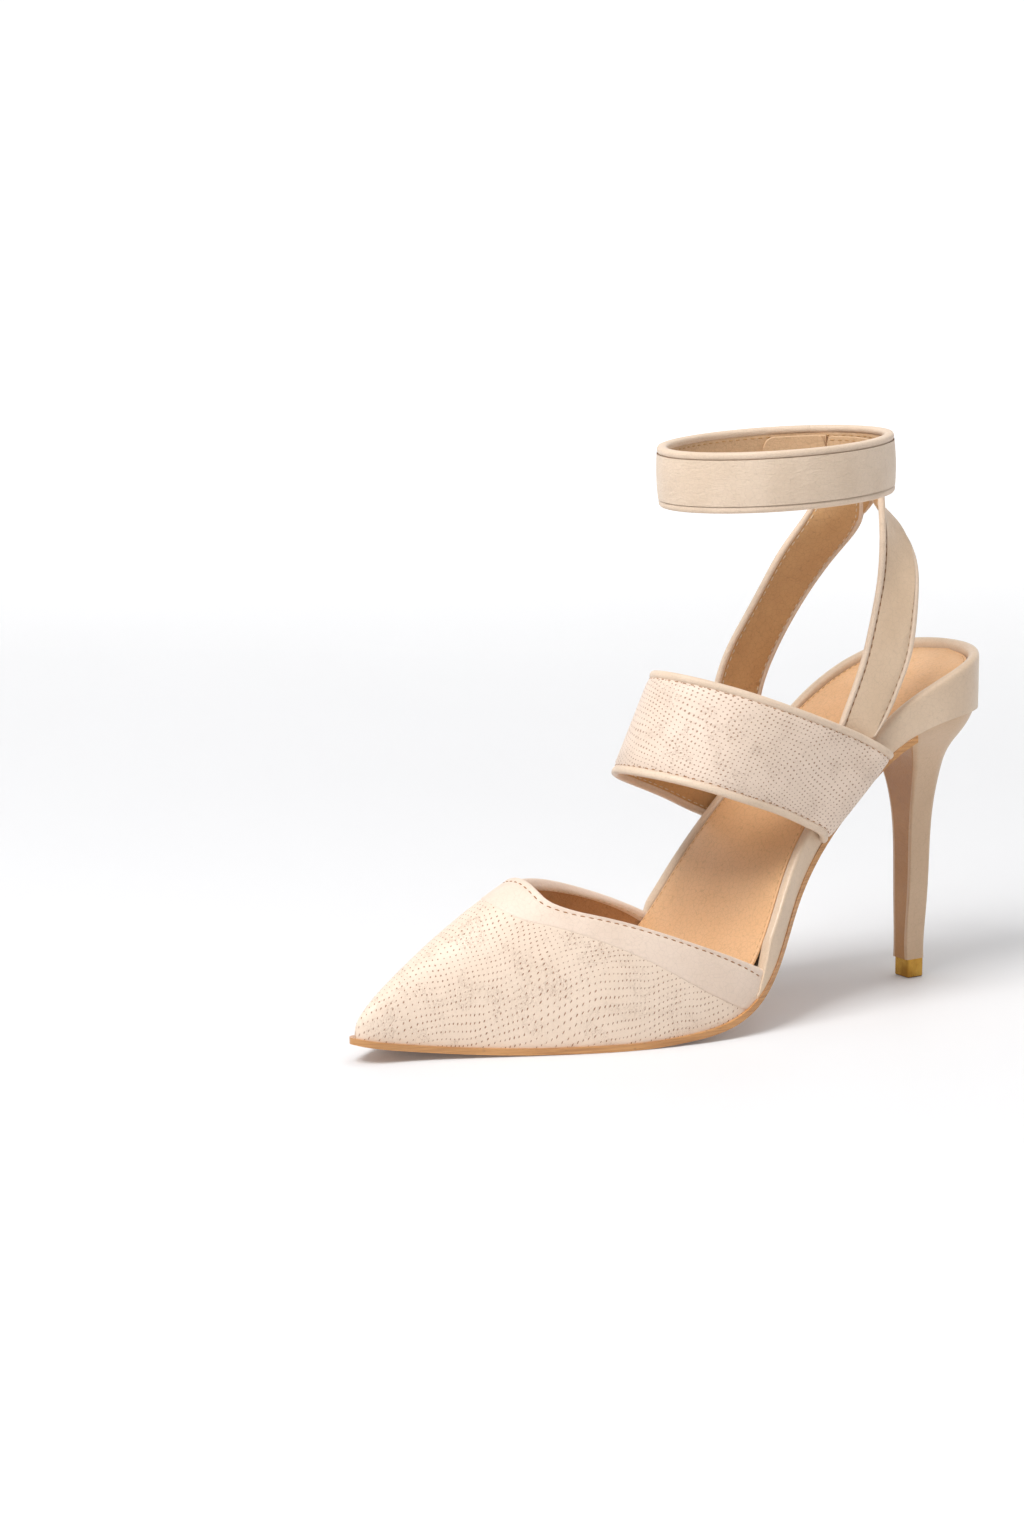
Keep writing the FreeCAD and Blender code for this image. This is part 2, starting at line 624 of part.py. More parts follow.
def strap_layer(name, stations, top, bottom, front_share, rear_share):
    """Loft along a strap. top and bottom are depths under its outer face; the shares cut its width."""
    fronts = [Vector(*front) for front, rear in stations]
    rears = [Vector(*rear) for front, rear in stations]
    middles = [(front + rear) * 0.5 for front, rear in zip(fronts, rears)]
    sections = []
    for index, (front, rear) in enumerate(zip(fronts, rears)):
        before = middles[max(index - 1, 0)]
        after = middles[min(index + 1, len(middles) - 1)]
        across = rear - front
        inward = across.cross(after - before).normalize()
        if index == 0:
            turned = -1 if inward.x * front.x > 0 else 1
        inward = inward * turned
        start, end = front + across * front_share, front + across * rear_share
        corners = [start + inward * top, end + inward * top, end + inward * bottom, start + inward * bottom]
        wire = Part.makePolygon(corners + corners[:1])
        sections.append(shape_feature(f"{name}_section_{index}", wire))
    loft = doc.addObject("Part::Loft", name)
    loft.Sections = sections
    loft.Solid = True
    loft.Ruled = False
    return loft


def strap(name, stations, leather, lining):
    """Outer leather and lining, and a rolled edge along each side."""
    width = (Vector(*stations[4][1]) - Vector(*stations[4][0])).Length
    share = size("edge_width") / width
    inner = share + size("glue_line") / width
    glued = leather + size("glue_line")
    full = leather + lining
    keep(strap_layer(name + "_leather_raw", stations, 0.0, leather, inner, 1 - inner), name + "_leather")
    keep(strap_layer(name + "_lining_raw", stations, glued, full, inner, 1 - inner), name + "_lining")
    keep(strap_layer(name + "_front_edge_raw", stations, 0.0, full, 0.0, share), name + "_front_edge")
    keep(strap_layer(name + "_rear_edge_raw", stations, 0.0, full, 1 - share, 1.0), name + "_rear_edge")


strap("instep_strap", INSTEP, size("strap_leather"), size("strap_lining"))
strap("outer_sling", SLING_OUTER, size("sling_leather"), size("sling_lining"))
strap("inner_sling", SLING_INNER, size("sling_leather"), size("sling_lining"))

# ---------------------------------------------------------------- ankle band
half_width, half_length = size("band_half_width"), size("band_half_length")
padding_depth = size("band_leather")
inner_depth = padding_depth + size("band_padding")
band_depth = inner_depth + size("band_lining")
hook_depth = band_depth + size("tape_thick")
loop_depth = hook_depth + size("tape_gap")
tab_depth = loop_depth + size("tape_thick")
tab_inner = tab_depth + size("tab_thick")

BAND_PLACE = Placement(
    Vector(0, size("band_centre_y"), size("band_bottom_z")), Rotation(Vector(1, 0, 0), size("band_tilt"))
)


def band_arc(depth, from_angle, to_angle):
    """Edge along the band at one depth under its outer face."""
    ellipse = Part.Ellipse(Vector(0, half_length - depth, 0), Vector(depth - half_width, 0, 0), Vector(0, 0, 0))
    offset = math.radians(-90)
    return Part.ArcOfEllipse(ellipse, math.radians(from_angle) + offset, math.radians(to_angle) + offset)


def band_piece(label, outer_depth, inner_depth_here, from_angle, to_angle, low, height):
    """Curved strip of the band, padded up from a sketch in the band's own plane."""
    body = doc.addObject("PartDesign::Body", label + "_body")
    sketch = new_sketch(body, label + "_outline")
    outer = band_arc(outer_depth, from_angle, to_angle)
    inner = band_arc(inner_depth_here, from_angle, to_angle)
    sketch.addGeometry(outer)
    sketch.addGeometry(Part.LineSegment(outer.EndPoint, inner.EndPoint))
    sketch.addGeometry(inner)
    sketch.addGeometry(Part.LineSegment(inner.StartPoint, outer.StartPoint))
    pad(body, label + "_pad", sketch, height)
    body.Placement = BAND_PLACE.multiply(upright(low))
    return keep(body, label)


edge = size("edge_width")
height = size("band_height")
gap = size("fold_gap")
fold = size("hinge_angle")
free_end = size("flap_end_angle")
MIDDLE_HEIGHT = "Sizes.band_height - 2 * Sizes.edge_width"

for part_name, start_angle, end_angle in (
    ("band", fold + gap - 360, free_end - gap),
    ("flap", free_end + gap, fold - gap),
):
    band_piece(part_name + "_leather", 0, padding_depth, start_angle, end_angle, edge, MIDDLE_HEIGHT)
    band_piece(part_name + "_padding", padding_depth, inner_depth, start_angle, end_angle, edge, MIDDLE_HEIGHT)
    band_piece(part_name + "_lining", inner_depth, band_depth, start_angle, end_angle, edge, MIDDLE_HEIGHT)
    band_piece(part_name + "_lower_edge", 0, band_depth, start_angle, end_angle, 0, "Sizes.edge_width")
    band_piece(part_name + "_upper_edge", 0, band_depth, start_angle, end_angle, height - edge, "Sizes.edge_width")

TAPE_LOW, TAPE_HEIGHT = 3.4, 11.5
TAB_START, TAB_END, TAPE_END = 121.5, 158.0, 156.0
band_piece("hook_tape", band_depth, hook_depth, free_end + 2, TAPE_END, TAPE_LOW, str(TAPE_HEIGHT))
band_piece("loop_tape", loop_depth, tab_depth, free_end + 2, TAPE_END, TAPE_LOW, str(TAPE_HEIGHT))
band_piece("closure_tab", tab_depth, tab_inner, TAB_START, TAB_END, 2.8, "Sizes.band_height - 5.6")
band_piece("tab_root", band_depth, tab_depth, TAB_START, free_end - 1, 2.8, "Sizes.band_height - 5.6")

PATCH_DEPTH = band_depth + size("sling_leather") + size("sling_lining") + 1.6
PATCH_END = 119.5
band_piece("sling_patch", PATCH_DEPTH, PATCH_DEPTH + 0.8, 58.0, PATCH_END, 1.6, "Sizes.band_height - 4.4")

# ---------------------------------------------------------------- check and write
doc.recompute()
failed = [item.Name for item in doc.Objects if "Invalid" in item.State or "Error" in item.State]
if failed:
    raise RuntimeError(f"these objects failed: {failed}")
for node in nodes:
    shape = node.Shape
    if shape.isNull() or not shape.isValid() or not shape.Solids:
        raise RuntimeError(f"{node.Label} has no valid solid")

os.makedirs("parts", exist_ok=True)
for node in nodes:
    node.Shape.exportStep(f"parts/{node.Label}.step")
    print(f"{node.Label:24s} {len(node.Shape.Solids)} solid  {node.Shape.Volume:10.1f} mm3")
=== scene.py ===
import bpy
import math
import numpy as np
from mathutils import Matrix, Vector


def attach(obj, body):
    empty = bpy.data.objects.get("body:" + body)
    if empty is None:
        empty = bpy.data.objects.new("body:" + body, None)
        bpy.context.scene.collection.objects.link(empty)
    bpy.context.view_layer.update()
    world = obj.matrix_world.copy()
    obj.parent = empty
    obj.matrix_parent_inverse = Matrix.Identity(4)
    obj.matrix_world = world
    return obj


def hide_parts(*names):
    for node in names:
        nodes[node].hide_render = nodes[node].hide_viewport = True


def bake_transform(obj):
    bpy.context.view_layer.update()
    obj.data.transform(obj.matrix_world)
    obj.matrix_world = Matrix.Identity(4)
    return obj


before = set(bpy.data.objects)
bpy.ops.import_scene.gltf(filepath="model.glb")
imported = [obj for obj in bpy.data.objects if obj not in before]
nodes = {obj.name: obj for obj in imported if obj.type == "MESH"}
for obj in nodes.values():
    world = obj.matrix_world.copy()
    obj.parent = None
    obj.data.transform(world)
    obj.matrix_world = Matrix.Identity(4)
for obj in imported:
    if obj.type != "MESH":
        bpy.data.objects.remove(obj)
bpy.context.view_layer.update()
mm = 0.001

# Plan of the sole in mm, from the toe tip down the outer side and back up the inner side
solePlan = [
    (-5.9, -207.0), (-2.4, -203.6), (0.4, -195.0), (6.4, -178.0), (17.4, -154.5), (27.2, -130.0),
    (31.4, -111.0), (33.0, -97.0), (32.4, -85.0), (29.2, -75.0), (25.2, -66.0), (22.9, -56.0),
    (22.2, -42.0), (22.5, -28.0), (24.2, -14.0), (24.4, -3.0), (20.6, 8.0), (12.0, 15.4), (-1.0, 18.2),
    (-14.0, 15.4), (-23.0, 8.0), (-27.0, -4.0), (-27.6, -18.0), (-27.6, -36.0), (-28.2, -52.0),
    (-31.0, -69.0), (-36.6, -86.0), (-39.4, -103.0), (-39.6, -120.0), (-36.8, -140.0),
    (-29.6, -167.0), (-19.8, -189.5), (-11.4, -203.2),
]
# Side view of the sole: y, z of the underside, height of the rim and of the sock above it
soleSide = [
    (-222.0, 9.0, 7.0, 6.7), (-207.0, 5.8, 7.0, 6.7), (-192.0, 3.1, 7.0, 6.7), (-172.0, 0.9, 7.0, 6.7),
    (-155.0, 0.1, 7.0, 6.8), (-140.0, 0.0, 7.1, 6.8), (-124.0, 0.1, 7.3, 6.9), (-110.0, 1.1, 7.8, 7.4),
    (-98.0, 3.2, 8.4, 8.0), (-88.0, 7.8, 9.0, 8.6), (-79.5, 15.6, 9.2, 8.8), (-72.5, 25.6, 9.2, 8.8),
    (-66.0, 36.4, 9.2, 8.8), (-59.5, 45.8, 9.2, 8.8), (-51.0, 55.8, 9.2, 8.8), (-40.0, 66.6, 9.4, 8.9),
    (-29.0, 75.8, 10.2, 9.4), (-18.0, 82.4, 12.2, 10.6), (-6.0, 86.2, 15.2, 13.2),
    (8.0, 87.8, 19.0, 16.6), (22.0, 88.4, 21.4, 18.6), (34.0, 88.8, 22.4, 19.4),
]


def smoothLine(points, count, closed=False):
    # natural cubic spline through the points, sampled evenly along the chords
    p = np.array(points, float)
    if closed:
        p = np.vstack([p[-4:], p, p[:5]])
    h = np.linalg.norm(np.diff(p, axis=0), axis=1)
    t = np.concatenate([[0], np.cumsum(h)])
    n = len(p)
    system, right = np.eye(n), np.zeros_like(p)
    for i in range(1, n - 1):
        system[i, i - 1:i + 2] = h[i - 1], 2 * (h[i - 1] + h[i]), h[i]
        right[i] = 6 * ((p[i + 1] - p[i]) / h[i] - (p[i] - p[i - 1]) / h[i - 1])
    m = np.linalg.solve(system, right)
    start, stop = (t[4], t[-5]) if closed else (t[0], t[-1])
    at = np.linspace(start, stop, count)
    i = np.clip(np.searchsorted(t, at) - 1, 0, n - 2)
    a, b, g = (t[i + 1] - at)[:, None], (at - t[i])[:, None], h[i][:, None]
    bent = (m[i] * a ** 3 + m[i + 1] * b ** 3) / (6 * g)
    return bent + (p[i] / g - m[i] * g / 6) * a + (p[i + 1] / g - m[i + 1] * g / 6) * b


def unit(v):
    return v / np.maximum(np.linalg.norm(v, axis=-1, keepdims=True), 1e-12)


planLine = smoothLine(solePlan, 1601, closed=True)
planAlong = unit(np.gradient(planLine, axis=0))
planInward = np.stack([-planAlong[:, 1], planAlong[:, 0]], axis=1)


def sides(inset):
    # inner and outer x of the plan, drawn in by inset, at any y
    line = planLine + planInward * inset
    tip, rear = np.argmin(line[:, 1]), np.argmax(line[:, 1])
    line = np.roll(line[:-1], -tip, axis=0)
    rear = (rear - tip) % len(line)
    outer, inner = line[:rear + 1], line[rear:][::-1]
    outerY, innerY = np.maximum.accumulate(outer[:, 1]), np.maximum.accumulate(inner[:, 1])
    return lambda y: (np.interp(y, innerY, inner[:, 0]), np.interp(y, outerY, outer[:, 0]))


def height(distances):
    # z of a line that stands off the sole's underside, at any y
    stations = np.array([(y, z) for y, z, rim, sock in soleSide])
    dense = smoothLine(stations, 2400)
    along = unit(np.gradient(dense, axis=0))
    nearest = [np.argmin(np.linalg.norm(dense - s, axis=1)) for s in stations]
    off = np.array(distances, float) * np.ones(len(stations))
    normals = np.stack([-along[nearest, 1], along[nearest, 0]], axis=1)
    line = smoothLine(stations + normals * off[:, None], 1500)
    return lambda y: np.interp(y, line[:, 0], line[:, 1])


underside, outsoleTop = height(0.0), height(2.0)
rimTop = height([rim for y, z, rim, sock in soleSide])
sockTop = height([sock for y, z, rim, sock in soleSide])


# building pieces from rows of points, in mm
def activate(obj):
    bpy.ops.object.select_all(action="DESELECT")
    obj.select_set(True)
    bpy.context.view_layer.objects.active = obj


def applyModifiers(obj):
    activate(obj)
    for modifier in list(obj.modifiers):
        bpy.ops.object.modifier_apply(modifier=modifier.name)


def placedGrid(name, rows, pattern=None):
    # a grid primitive whose points are put where rows says; pattern holds its UVs in mm
    down, across = rows.shape[:2]
    bpy.ops.mesh.primitive_grid_add(x_subdivisions=across - 1, y_subdivisions=down - 1, size=1)
    obj = bpy.context.object
    obj.name = obj.data.name = name
    obj.data.vertices.foreach_set("co", (rows.reshape(-1, 3) * mm).astype(np.float32).ravel())
    if pattern is not None:
        corner = np.zeros(len(obj.data.loops), np.int32)
        obj.data.loops.foreach_get("vertex_index", corner)
        obj.data.uv_layers.active.data.foreach_set(
            "uv", pattern.reshape(-1, 2)[corner].astype(np.float32).ravel()
        )
    obj.data.update()
    return obj


def finishPiece(obj, material, body, replaces=(), angle=45):
    activate(obj)
    bpy.ops.object.shade_smooth_by_angle(angle=math.radians(angle))
    obj.data.materials.clear()
    obj.data.materials.append(material)
    if replaces:
        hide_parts(*replaces)
    if body == "fold":
        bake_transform(obj)
    else:
        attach(obj, body)
    return obj


def sheetPiece(name, rows, outward, thickness, material, body, replaces=(), pattern=None, angle=45):
    # open sheet of leather, its outer face where rows says, thickened inwards
    obj = placedGrid(name, rows, pattern)
    wanted = outward.reshape(-1, 3)
    first = np.array([f.vertices[0] for f in obj.data.polygons])
    normals = np.array([f.normal for f in obj.data.polygons], float)
    activate(obj)
    bpy.ops.object.mode_set(mode="EDIT")
    bpy.ops.mesh.select_all(action="SELECT")
    if (normals * wanted[first]).sum() < 0:
        bpy.ops.mesh.flip_normals()
    bpy.ops.mesh.remove_doubles(threshold=0.000004)
    bpy.ops.object.mode_set(mode="OBJECT")
    wall = obj.modifiers.new("wall", "SOLIDIFY")
    wall.thickness, wall.offset, wall.use_even_offset = thickness * mm, -1, False
    applyModifiers(obj)
    return finishPiece(obj, material, body, replaces, angle)


def tubePiece(name, rings, material, body, replaces=(), pattern=None, angle=50):
    # closed outlines in a row, welded into a tube and closed at both ends
    rings = np.concatenate([rings, rings[:, :1]], axis=1)
    obj = placedGrid(name, rings, pattern)
    activate(obj)
    bpy.ops.object.mode_set(mode="EDIT")
    bpy.ops.mesh.select_all(action="SELECT")
    bpy.ops.mesh.remove_doubles(threshold=0.000004)
    bpy.ops.mesh.fill_holes(sides=0)
    bpy.ops.mesh.select_all(action="SELECT")
    bpy.ops.mesh.normals_make_consistent(inside=False)
    bpy.ops.object.mode_set(mode="OBJECT")
    return finishPiece(obj, material, body, replaces, angle)


def surfaceFrame(surface, t, s):
    # point, outward normal, and size of a step across, at rows t and columns s
    step = 1e-3
    point = surface(t, s)
    acrossStep = (surface(t, s + step) - surface(t, s - step)) / (2 * step)
    alongStep = (surface(t + step, s) - surface(t - step, s)) / (2 * step)
    return point, unit(np.cross(alongStep, acrossStep)), np.linalg.norm(acrossStep, axis=-1)


def onSurface(surface, ts, places, turn=1):
    # places are (side, mm from that side, depth in mm) for each column; returns points, normals, UVs in mm
    columns, normals, lengths = [], [], []
    for side, offset, depth in places:
        base = np.full(len(ts), float(side))
        reach = surfaceFrame(surface, ts, base)[2]
        s = base + offset / reach
        point, normal, _ = surfaceFrame(surface, ts, s)
        normal = normal * turn
        columns.append(point - normal * depth)
        normals.append(normal)
        lengths.append(s)
    rows, normals = np.stack(columns, axis=1), np.stack(normals, axis=1)
    alongLength = np.concatenate(
        [[0], np.cumsum(np.linalg.norm(np.diff(rows[:, len(places) // 2], axis=0), axis=1))]
    )
    width = np.linalg.norm(surface(ts, np.ones(len(ts))) - surface(ts, np.zeros(len(ts))), axis=1)
    pattern = np.stack(
        [np.repeat(alongLength[:, None], len(places), axis=1), np.stack(lengths, axis=1) * width.mean()],
        axis=2
    )
    return rows, normals, pattern


# materials
def tone(r, g, b):
    # shader colour from the usual 0 to 255 values
    return tuple(((c / 255 + 0.055) / 1.055) ** 2.4 if c > 10 else c / 3294 for c in (r, g, b)) + (1.0,)


class Shader:
    # short way to add nodes to one material
    def __init__(self, name):
        self.material = bpy.data.materials.new(name)
        self.material.use_nodes = True
        self.tree = self.material.node_tree
        self.surface = self.tree.nodes["Principled BSDF"]
        self.where = self.add("TexCoord").outputs["Object"]

    def add(self, kind, **inputs):
        node = self.tree.nodes.new("ShaderNode" + kind)
        for key, value in inputs.items():
            self.put(node.inputs[key], value)
        return node

    def put(self, socket, value):
        if isinstance(value, bpy.types.NodeSocket):
            self.tree.links.new(value, socket)
        else:
            socket.default_value = value

    def maths(self, operation, a, b=0.0, c=0.0):
        node = self.tree.nodes.new("ShaderNodeMath")
        node.operation = operation
        for socket, value in zip(node.inputs, (a, b, c)):
            self.put(socket, value)
        return node.outputs[0]

    def noise(self, scale, detail=3.0, rough=0.55, where=None, distortion=0.0):
        node = self.add("TexNoise", Scale=scale, Detail=detail, Roughness=rough, Distortion=distortion)
        self.put(node.inputs["Vector"], where or self.where)
        return node.outputs["Fac"]

    def cells(self, scale, feature="F1", where=None):
        node = self.add("TexVoronoi", Scale=scale)
        node.feature = feature
        self.put(node.inputs["Vector"], where or self.where)
        return node.outputs["Distance"]

    def stretched(self, x, y, z, where=None):
        node = self.add("Mapping", Scale=(x, y, z))
        self.put(node.inputs["Vector"], where or self.where)
        return node.outputs["Vector"]

    def ramp(self, value, low, high, start=0.0, end=1.0):
        node = self.add("MapRange", **{"From Min": low, "From Max": high, "To Min": start, "To Max": end})
        node.interpolation_type = "SMOOTHSTEP"
        self.put(node.inputs["Value"], value)
        return node.outputs["Result"]

    def mix(self, amount, a, b):
        node = self.tree.nodes.new("ShaderNodeMix")
        node.data_type = "RGBA"
        self.put(node.inputs["Factor"], amount)
        self.put(node.inputs[6], a)
        self.put(node.inputs[7], b)
        return node.outputs[2]

    def relief(self, parts):
        # chained bumps: height, strength, distance in metres
        last = None
        for height, strength, distance in parts:
            bump = self.add("Bump", Strength=strength, Distance=distance, Height=height)
            if last is not None:
                self.put(bump.inputs["Normal"], last)
            last = bump.outputs["Normal"]
        self.put(self.surface.inputs["Normal"], last)

    def finish(self, colour, rough, sheen=0.0, coat=0.0, metal=0.0, specular=0.5):
        self.put(self.surface.inputs["Base Color"], colour)
        self.put(self.surface.inputs["Roughness"], rough)
        self.surface.inputs["Sheen Weight"].default_value = sheen
        self.surface.inputs["Coat Weight"].default_value = coat
        self.surface.inputs["Coat Roughness"].default_value = 0.25
        self.surface.inputs["Metallic"].default_value = metal
        self.surface.inputs["Specular IOR Level"].default_value = specular
        return self.material


def leather(
    name, light, dark, grain=1350, wrinkle=0.3, rough=(0.42, 0.58), coat=0.0, pores=0.35, mottle=0.5
):
    # smooth calf: mottled colour, fine grain cells with darker creases, soft wrinkles
    s = Shader(name)
    cloud = s.noise(55, 4.0, 0.6)
    fine = s.noise(900, 3.0, 0.6)
    grainCells = s.cells(grain)
    crease = s.cells(grain * 0.42, "DISTANCE_TO_EDGE")
    folds = s.noise(260, 4.0, 0.62, s.stretched(1.0, 1.0, 2.6), 1.2)
    amount = s.maths("MULTIPLY", s.ramp(cloud, 0.35, 0.7), mottle)
    colour = s.mix(amount, tone(*light), tone(*dark))
    speck = s.maths("MULTIPLY", s.ramp(fine, 0.56, 0.74), pores * 0.6)
    colour = s.mix(speck, colour, tone(*[c * 0.86 for c in dark]))
    line = s.maths("MULTIPLY", s.ramp(crease, 0.07, 0.0), pores * 0.4)
    colour = s.mix(line, colour, tone(*[c * 0.8 for c in dark]))
    shine = s.ramp(s.noise(140, 3.0), 0.3, 0.7, *rough)
    s.relief(
        [
            (folds, wrinkle, 0.0008), (crease, 0.12, 0.0002), (grainCells, 0.22, 0.00018),
            (fine, 0.1, 0.0001)
        ]
    )
    return s.finish(colour, shine, sheen=0.06, coat=coat)


def embossed(name, light, dark, dot, pitch=(1.9, 1.7), lean=0.0, radius=(0.2, 0.33), depth=0.6):
    # leather pressed all over with small dots in wandering rows, with short creases between; UVs are in mm
    s = Shader(name)
    flat = s.add("UVMap").outputs["UV"]
    drift = s.add("TexNoise", Scale=0.04, Detail=1.0)
    s.put(drift.inputs["Vector"], flat)
    shift = s.add("VectorMath")
    shift.operation = "MULTIPLY_ADD"
    s.put(shift.inputs[0], drift.outputs["Color"])
    shift.inputs[1].default_value = (5.0, 9.0, 0.0)
    s.put(shift.inputs[2], flat)
    wobble = s.add("TexNoise", Scale=0.5, Detail=1.0)
    s.put(wobble.inputs["Vector"], flat)
    nudge = s.add("VectorMath")
    nudge.operation = "MULTIPLY_ADD"
    s.put(nudge.inputs[0], wobble.outputs["Color"])
    nudge.inputs[1].default_value = (0.35, 0.35, 0.0)
    s.put(nudge.inputs[2], shift.outputs[0])
    turned = s.add("Mapping", Vector=nudge.outputs[0], Rotation=(0.0, 0.0, math.radians(lean)))
    axes = s.add("SeparateXYZ", Vector=turned.outputs["Vector"])
    row = s.maths("DIVIDE", axes.outputs["Y"], pitch[1])
    odd = s.maths("MULTIPLY", s.maths("FLOORED_MODULO", s.maths("FLOOR", row), 2.0), 0.5)
    column = s.maths("ADD", s.maths("DIVIDE", axes.outputs["X"], pitch[0]), odd)
    dx = s.maths("MULTIPLY", s.maths("SUBTRACT", s.maths("FRACT", column), 0.5), pitch[0])
    dy = s.maths("MULTIPLY", s.maths("SUBTRACT", s.maths("FRACT", row), 0.5), pitch[1])
    apart = s.maths("SQRT", s.maths("ADD", s.maths("MULTIPLY", dx, dx), s.maths("MULTIPLY", dy, dy)))
    size = s.ramp(s.noise(220, 1.0), 0.3, 0.7, *radius)
    pressed = s.ramp(s.maths("DIVIDE", apart, size), 1.15, 0.55)
    worm = s.add("TexNoise", Scale=0.62, Detail=2.0, Distortion=1.6)
    s.put(worm.inputs["Vector"], nudge.outputs[0])
    band = s.maths("ABSOLUTE", s.maths("SUBTRACT", worm.outputs["Fac"], 0.5))
    crease = s.maths("MULTIPLY", s.ramp(band, 0.022, 0.0), s.ramp(s.noise(130, 2.0), 0.48, 0.62))
    cloud = s.noise(60, 4.0, 0.6)
    fine = s.noise(1100, 3.0, 0.6)
    colour = s.mix(s.maths("MULTIPLY", s.ramp(cloud, 0.35, 0.7), 0.4), tone(*light), tone(*dark))
    colour = s.mix(
        s.maths("MULTIPLY", s.ramp(fine, 0.55, 0.75), 0.25), colour, tone(*[c * 0.88 for c in dark])
    )
    colour = s.mix(s.maths("MULTIPLY", crease, 0.45), colour, tone(*dot))
    colour = s.mix(s.maths("MULTIPLY", pressed, depth), colour, tone(*dot))
    shine = s.ramp(s.noise(150, 3.0), 0.3, 0.7, 0.42, 0.56)
    sunk = s.maths("SUBTRACT", 1.0, s.maths("MAXIMUM", pressed, s.maths("MULTIPLY", crease, 0.7)))
    s.relief(
        [(s.noise(210, 4.0, 0.6), 0.22, 0.0008), (sunk, 0.55, 0.00022), (s.cells(1500), 0.16, 0.00015)]
    )
    return s.finish(colour, shine, sheen=0.05)


def soleLeather(name, light, dark):
    # cut leather edge: thin layers along the edge, burnished, with darker flecks
    s = Shader(name)
    layers = s.noise(420, 4.0, 0.6, s.stretched(0.12, 0.12, 4.0), 0.4)
    fleck = s.noise(600, 3.0, 0.6, s.stretched(0.5, 0.5, 1.5))
    cloud = s.noise(45, 3.0)
    colour = s.mix(s.ramp(layers, 0.35, 0.7), tone(*light), tone(*dark))
    colour = s.mix(
        s.maths("MULTIPLY", s.ramp(fleck, 0.6, 0.78), 0.5), colour, tone(*[c * 0.72 for c in dark])
    )
    colour = s.mix(s.maths("MULTIPLY", s.ramp(cloud, 0.4, 0.7), 0.3), colour, tone(*dark))
    s.relief([(layers, 0.2, 0.0003), (fleck, 0.15, 0.00015)])
    return s.finish(colour, s.ramp(cloud, 0.3, 0.7, 0.3, 0.45), coat=0.15)


def metal(name, light, dark, rough=(0.16, 0.34)):
    s = Shader(name)
    brushed = s.noise(700, 4.0, 0.6, s.stretched(1.0, 1.0, 0.08))
    worn = s.noise(160, 3.0)
    colour = s.mix(s.ramp(worn, 0.35, 0.7), tone(*light), tone(*dark))
    s.relief([(brushed, 0.12, 0.0001)])
    return s.finish(colour, s.ramp(brushed, 0.3, 0.7, *rough), metal=1.0)


def plain(name, light, dark, rough=(0.45, 0.6), scale=300):
    s = Shader(name)
    speckle = s.noise(scale, 4.0, 0.6)
    colour = s.mix(s.ramp(speckle, 0.35, 0.7), tone(*light), tone(*dark))
    s.relief([(speckle, 0.2, 0.0002)])
    return s.finish(colour, s.ramp(speckle, 0.3, 0.7, *rough))


def thread(name, light, dark):
    s = Shader(name)
    plies = s.noise(2600, 2.0, 0.5, None, 0.5)
    colour = s.mix(s.ramp(plies, 0.35, 0.65), tone(*light), tone(*dark))
    s.relief([(plies, 0.4, 0.0001)])
    return s.finish(colour, s.ramp(plies, 0.3, 0.7, 0.6, 0.8), sheen=0.2)


embossedCream = embossed(
    "embossed_cream", (236, 215, 195), (228, 205, 183), (142, 86, 46), (1.6, 1.42), 0.0, (0.17, 0.27),
    0.85
)
embossedStrap = embossed(
    "embossed_strap", (232, 211, 193), (218, 196, 176), (140, 92, 54), (1.9, 1.2), 38, (0.2, 0.34), 0.75
)
smoothCream = leather("smooth_cream", (234, 213, 195), (222, 199, 179), wrinkle=0.2)
bandCream = leather("band_cream", (226, 204, 181), (212, 188, 163), wrinkle=0.45)
edgeCream = leather("edge_cream", (226, 203, 180), (208, 184, 159), wrinkle=0.25, grain=1700)
slingCream = leather("sling_cream", (226, 198, 168), (212, 182, 150), wrinkle=0.3)
rimCream = leather("rim_cream", (222, 197, 170), (208, 181, 153), wrinkle=0.15, rough=(0.3, 0.44), coat=0.2)
heelCream = leather(
    "heel_cream", (208, 177, 145), (194, 162, 129), wrinkle=0.15, rough=(0.33, 0.46), coat=0.15
)
liningGold = leather(
    "lining_gold", (206, 162, 112), (184, 138, 90), wrinkle=0.3, pores=0.6, rough=(0.45, 0.6)
)
liningTan = leather(
    "lining_tan", (190, 145, 103), (168, 122, 80), wrinkle=0.3, pores=0.6, rough=(0.45, 0.6)
)
liningBand = leather(
    "lining_band", (208, 172, 134), (190, 152, 112), wrinkle=0.35, pores=0.6, rough=(0.45, 0.6)
)
sockTan = leather("sock_tan", (228, 180, 132), (219, 169, 119), wrinkle=0.12, pores=0.7, rough=(0.42, 0.54))
breastTan = leather("breast_tan", (184, 132, 74), (158, 108, 56), wrinkle=0.2, rough=(0.3, 0.45), coat=0.2)
soleTan = soleLeather("sole_tan", (206, 152, 96), (176, 122, 72))
brass = metal("brass", (205, 160, 78), (170, 124, 54))
steelGrey = metal("steel_grey", (170, 172, 176), (140, 142, 148))
liftTan = plain("lift_tan", (150, 112, 72), (122, 88, 56))
plasticWhite = plain("core_white", (222, 220, 212), (205, 202, 194))
boardGrey = plain("board_grey", (170, 158, 140), (146, 134, 116), scale=500)
foamCream = plain("foam_cream", (226, 218, 198), (208, 198, 176), (0.7, 0.85), 900)
tapeCream = plain("tape_cream", (222, 208, 188), (200, 184, 162), (0.7, 0.85), 1400)
threadBrown = thread("thread_brown", (176, 128, 84), (146, 100, 62))
threadCream = thread("thread_cream", (226, 206, 178), (202, 180, 150))
threadGold = thread("thread_gold", (196, 152, 98), (168, 124, 74))
print("materials made")


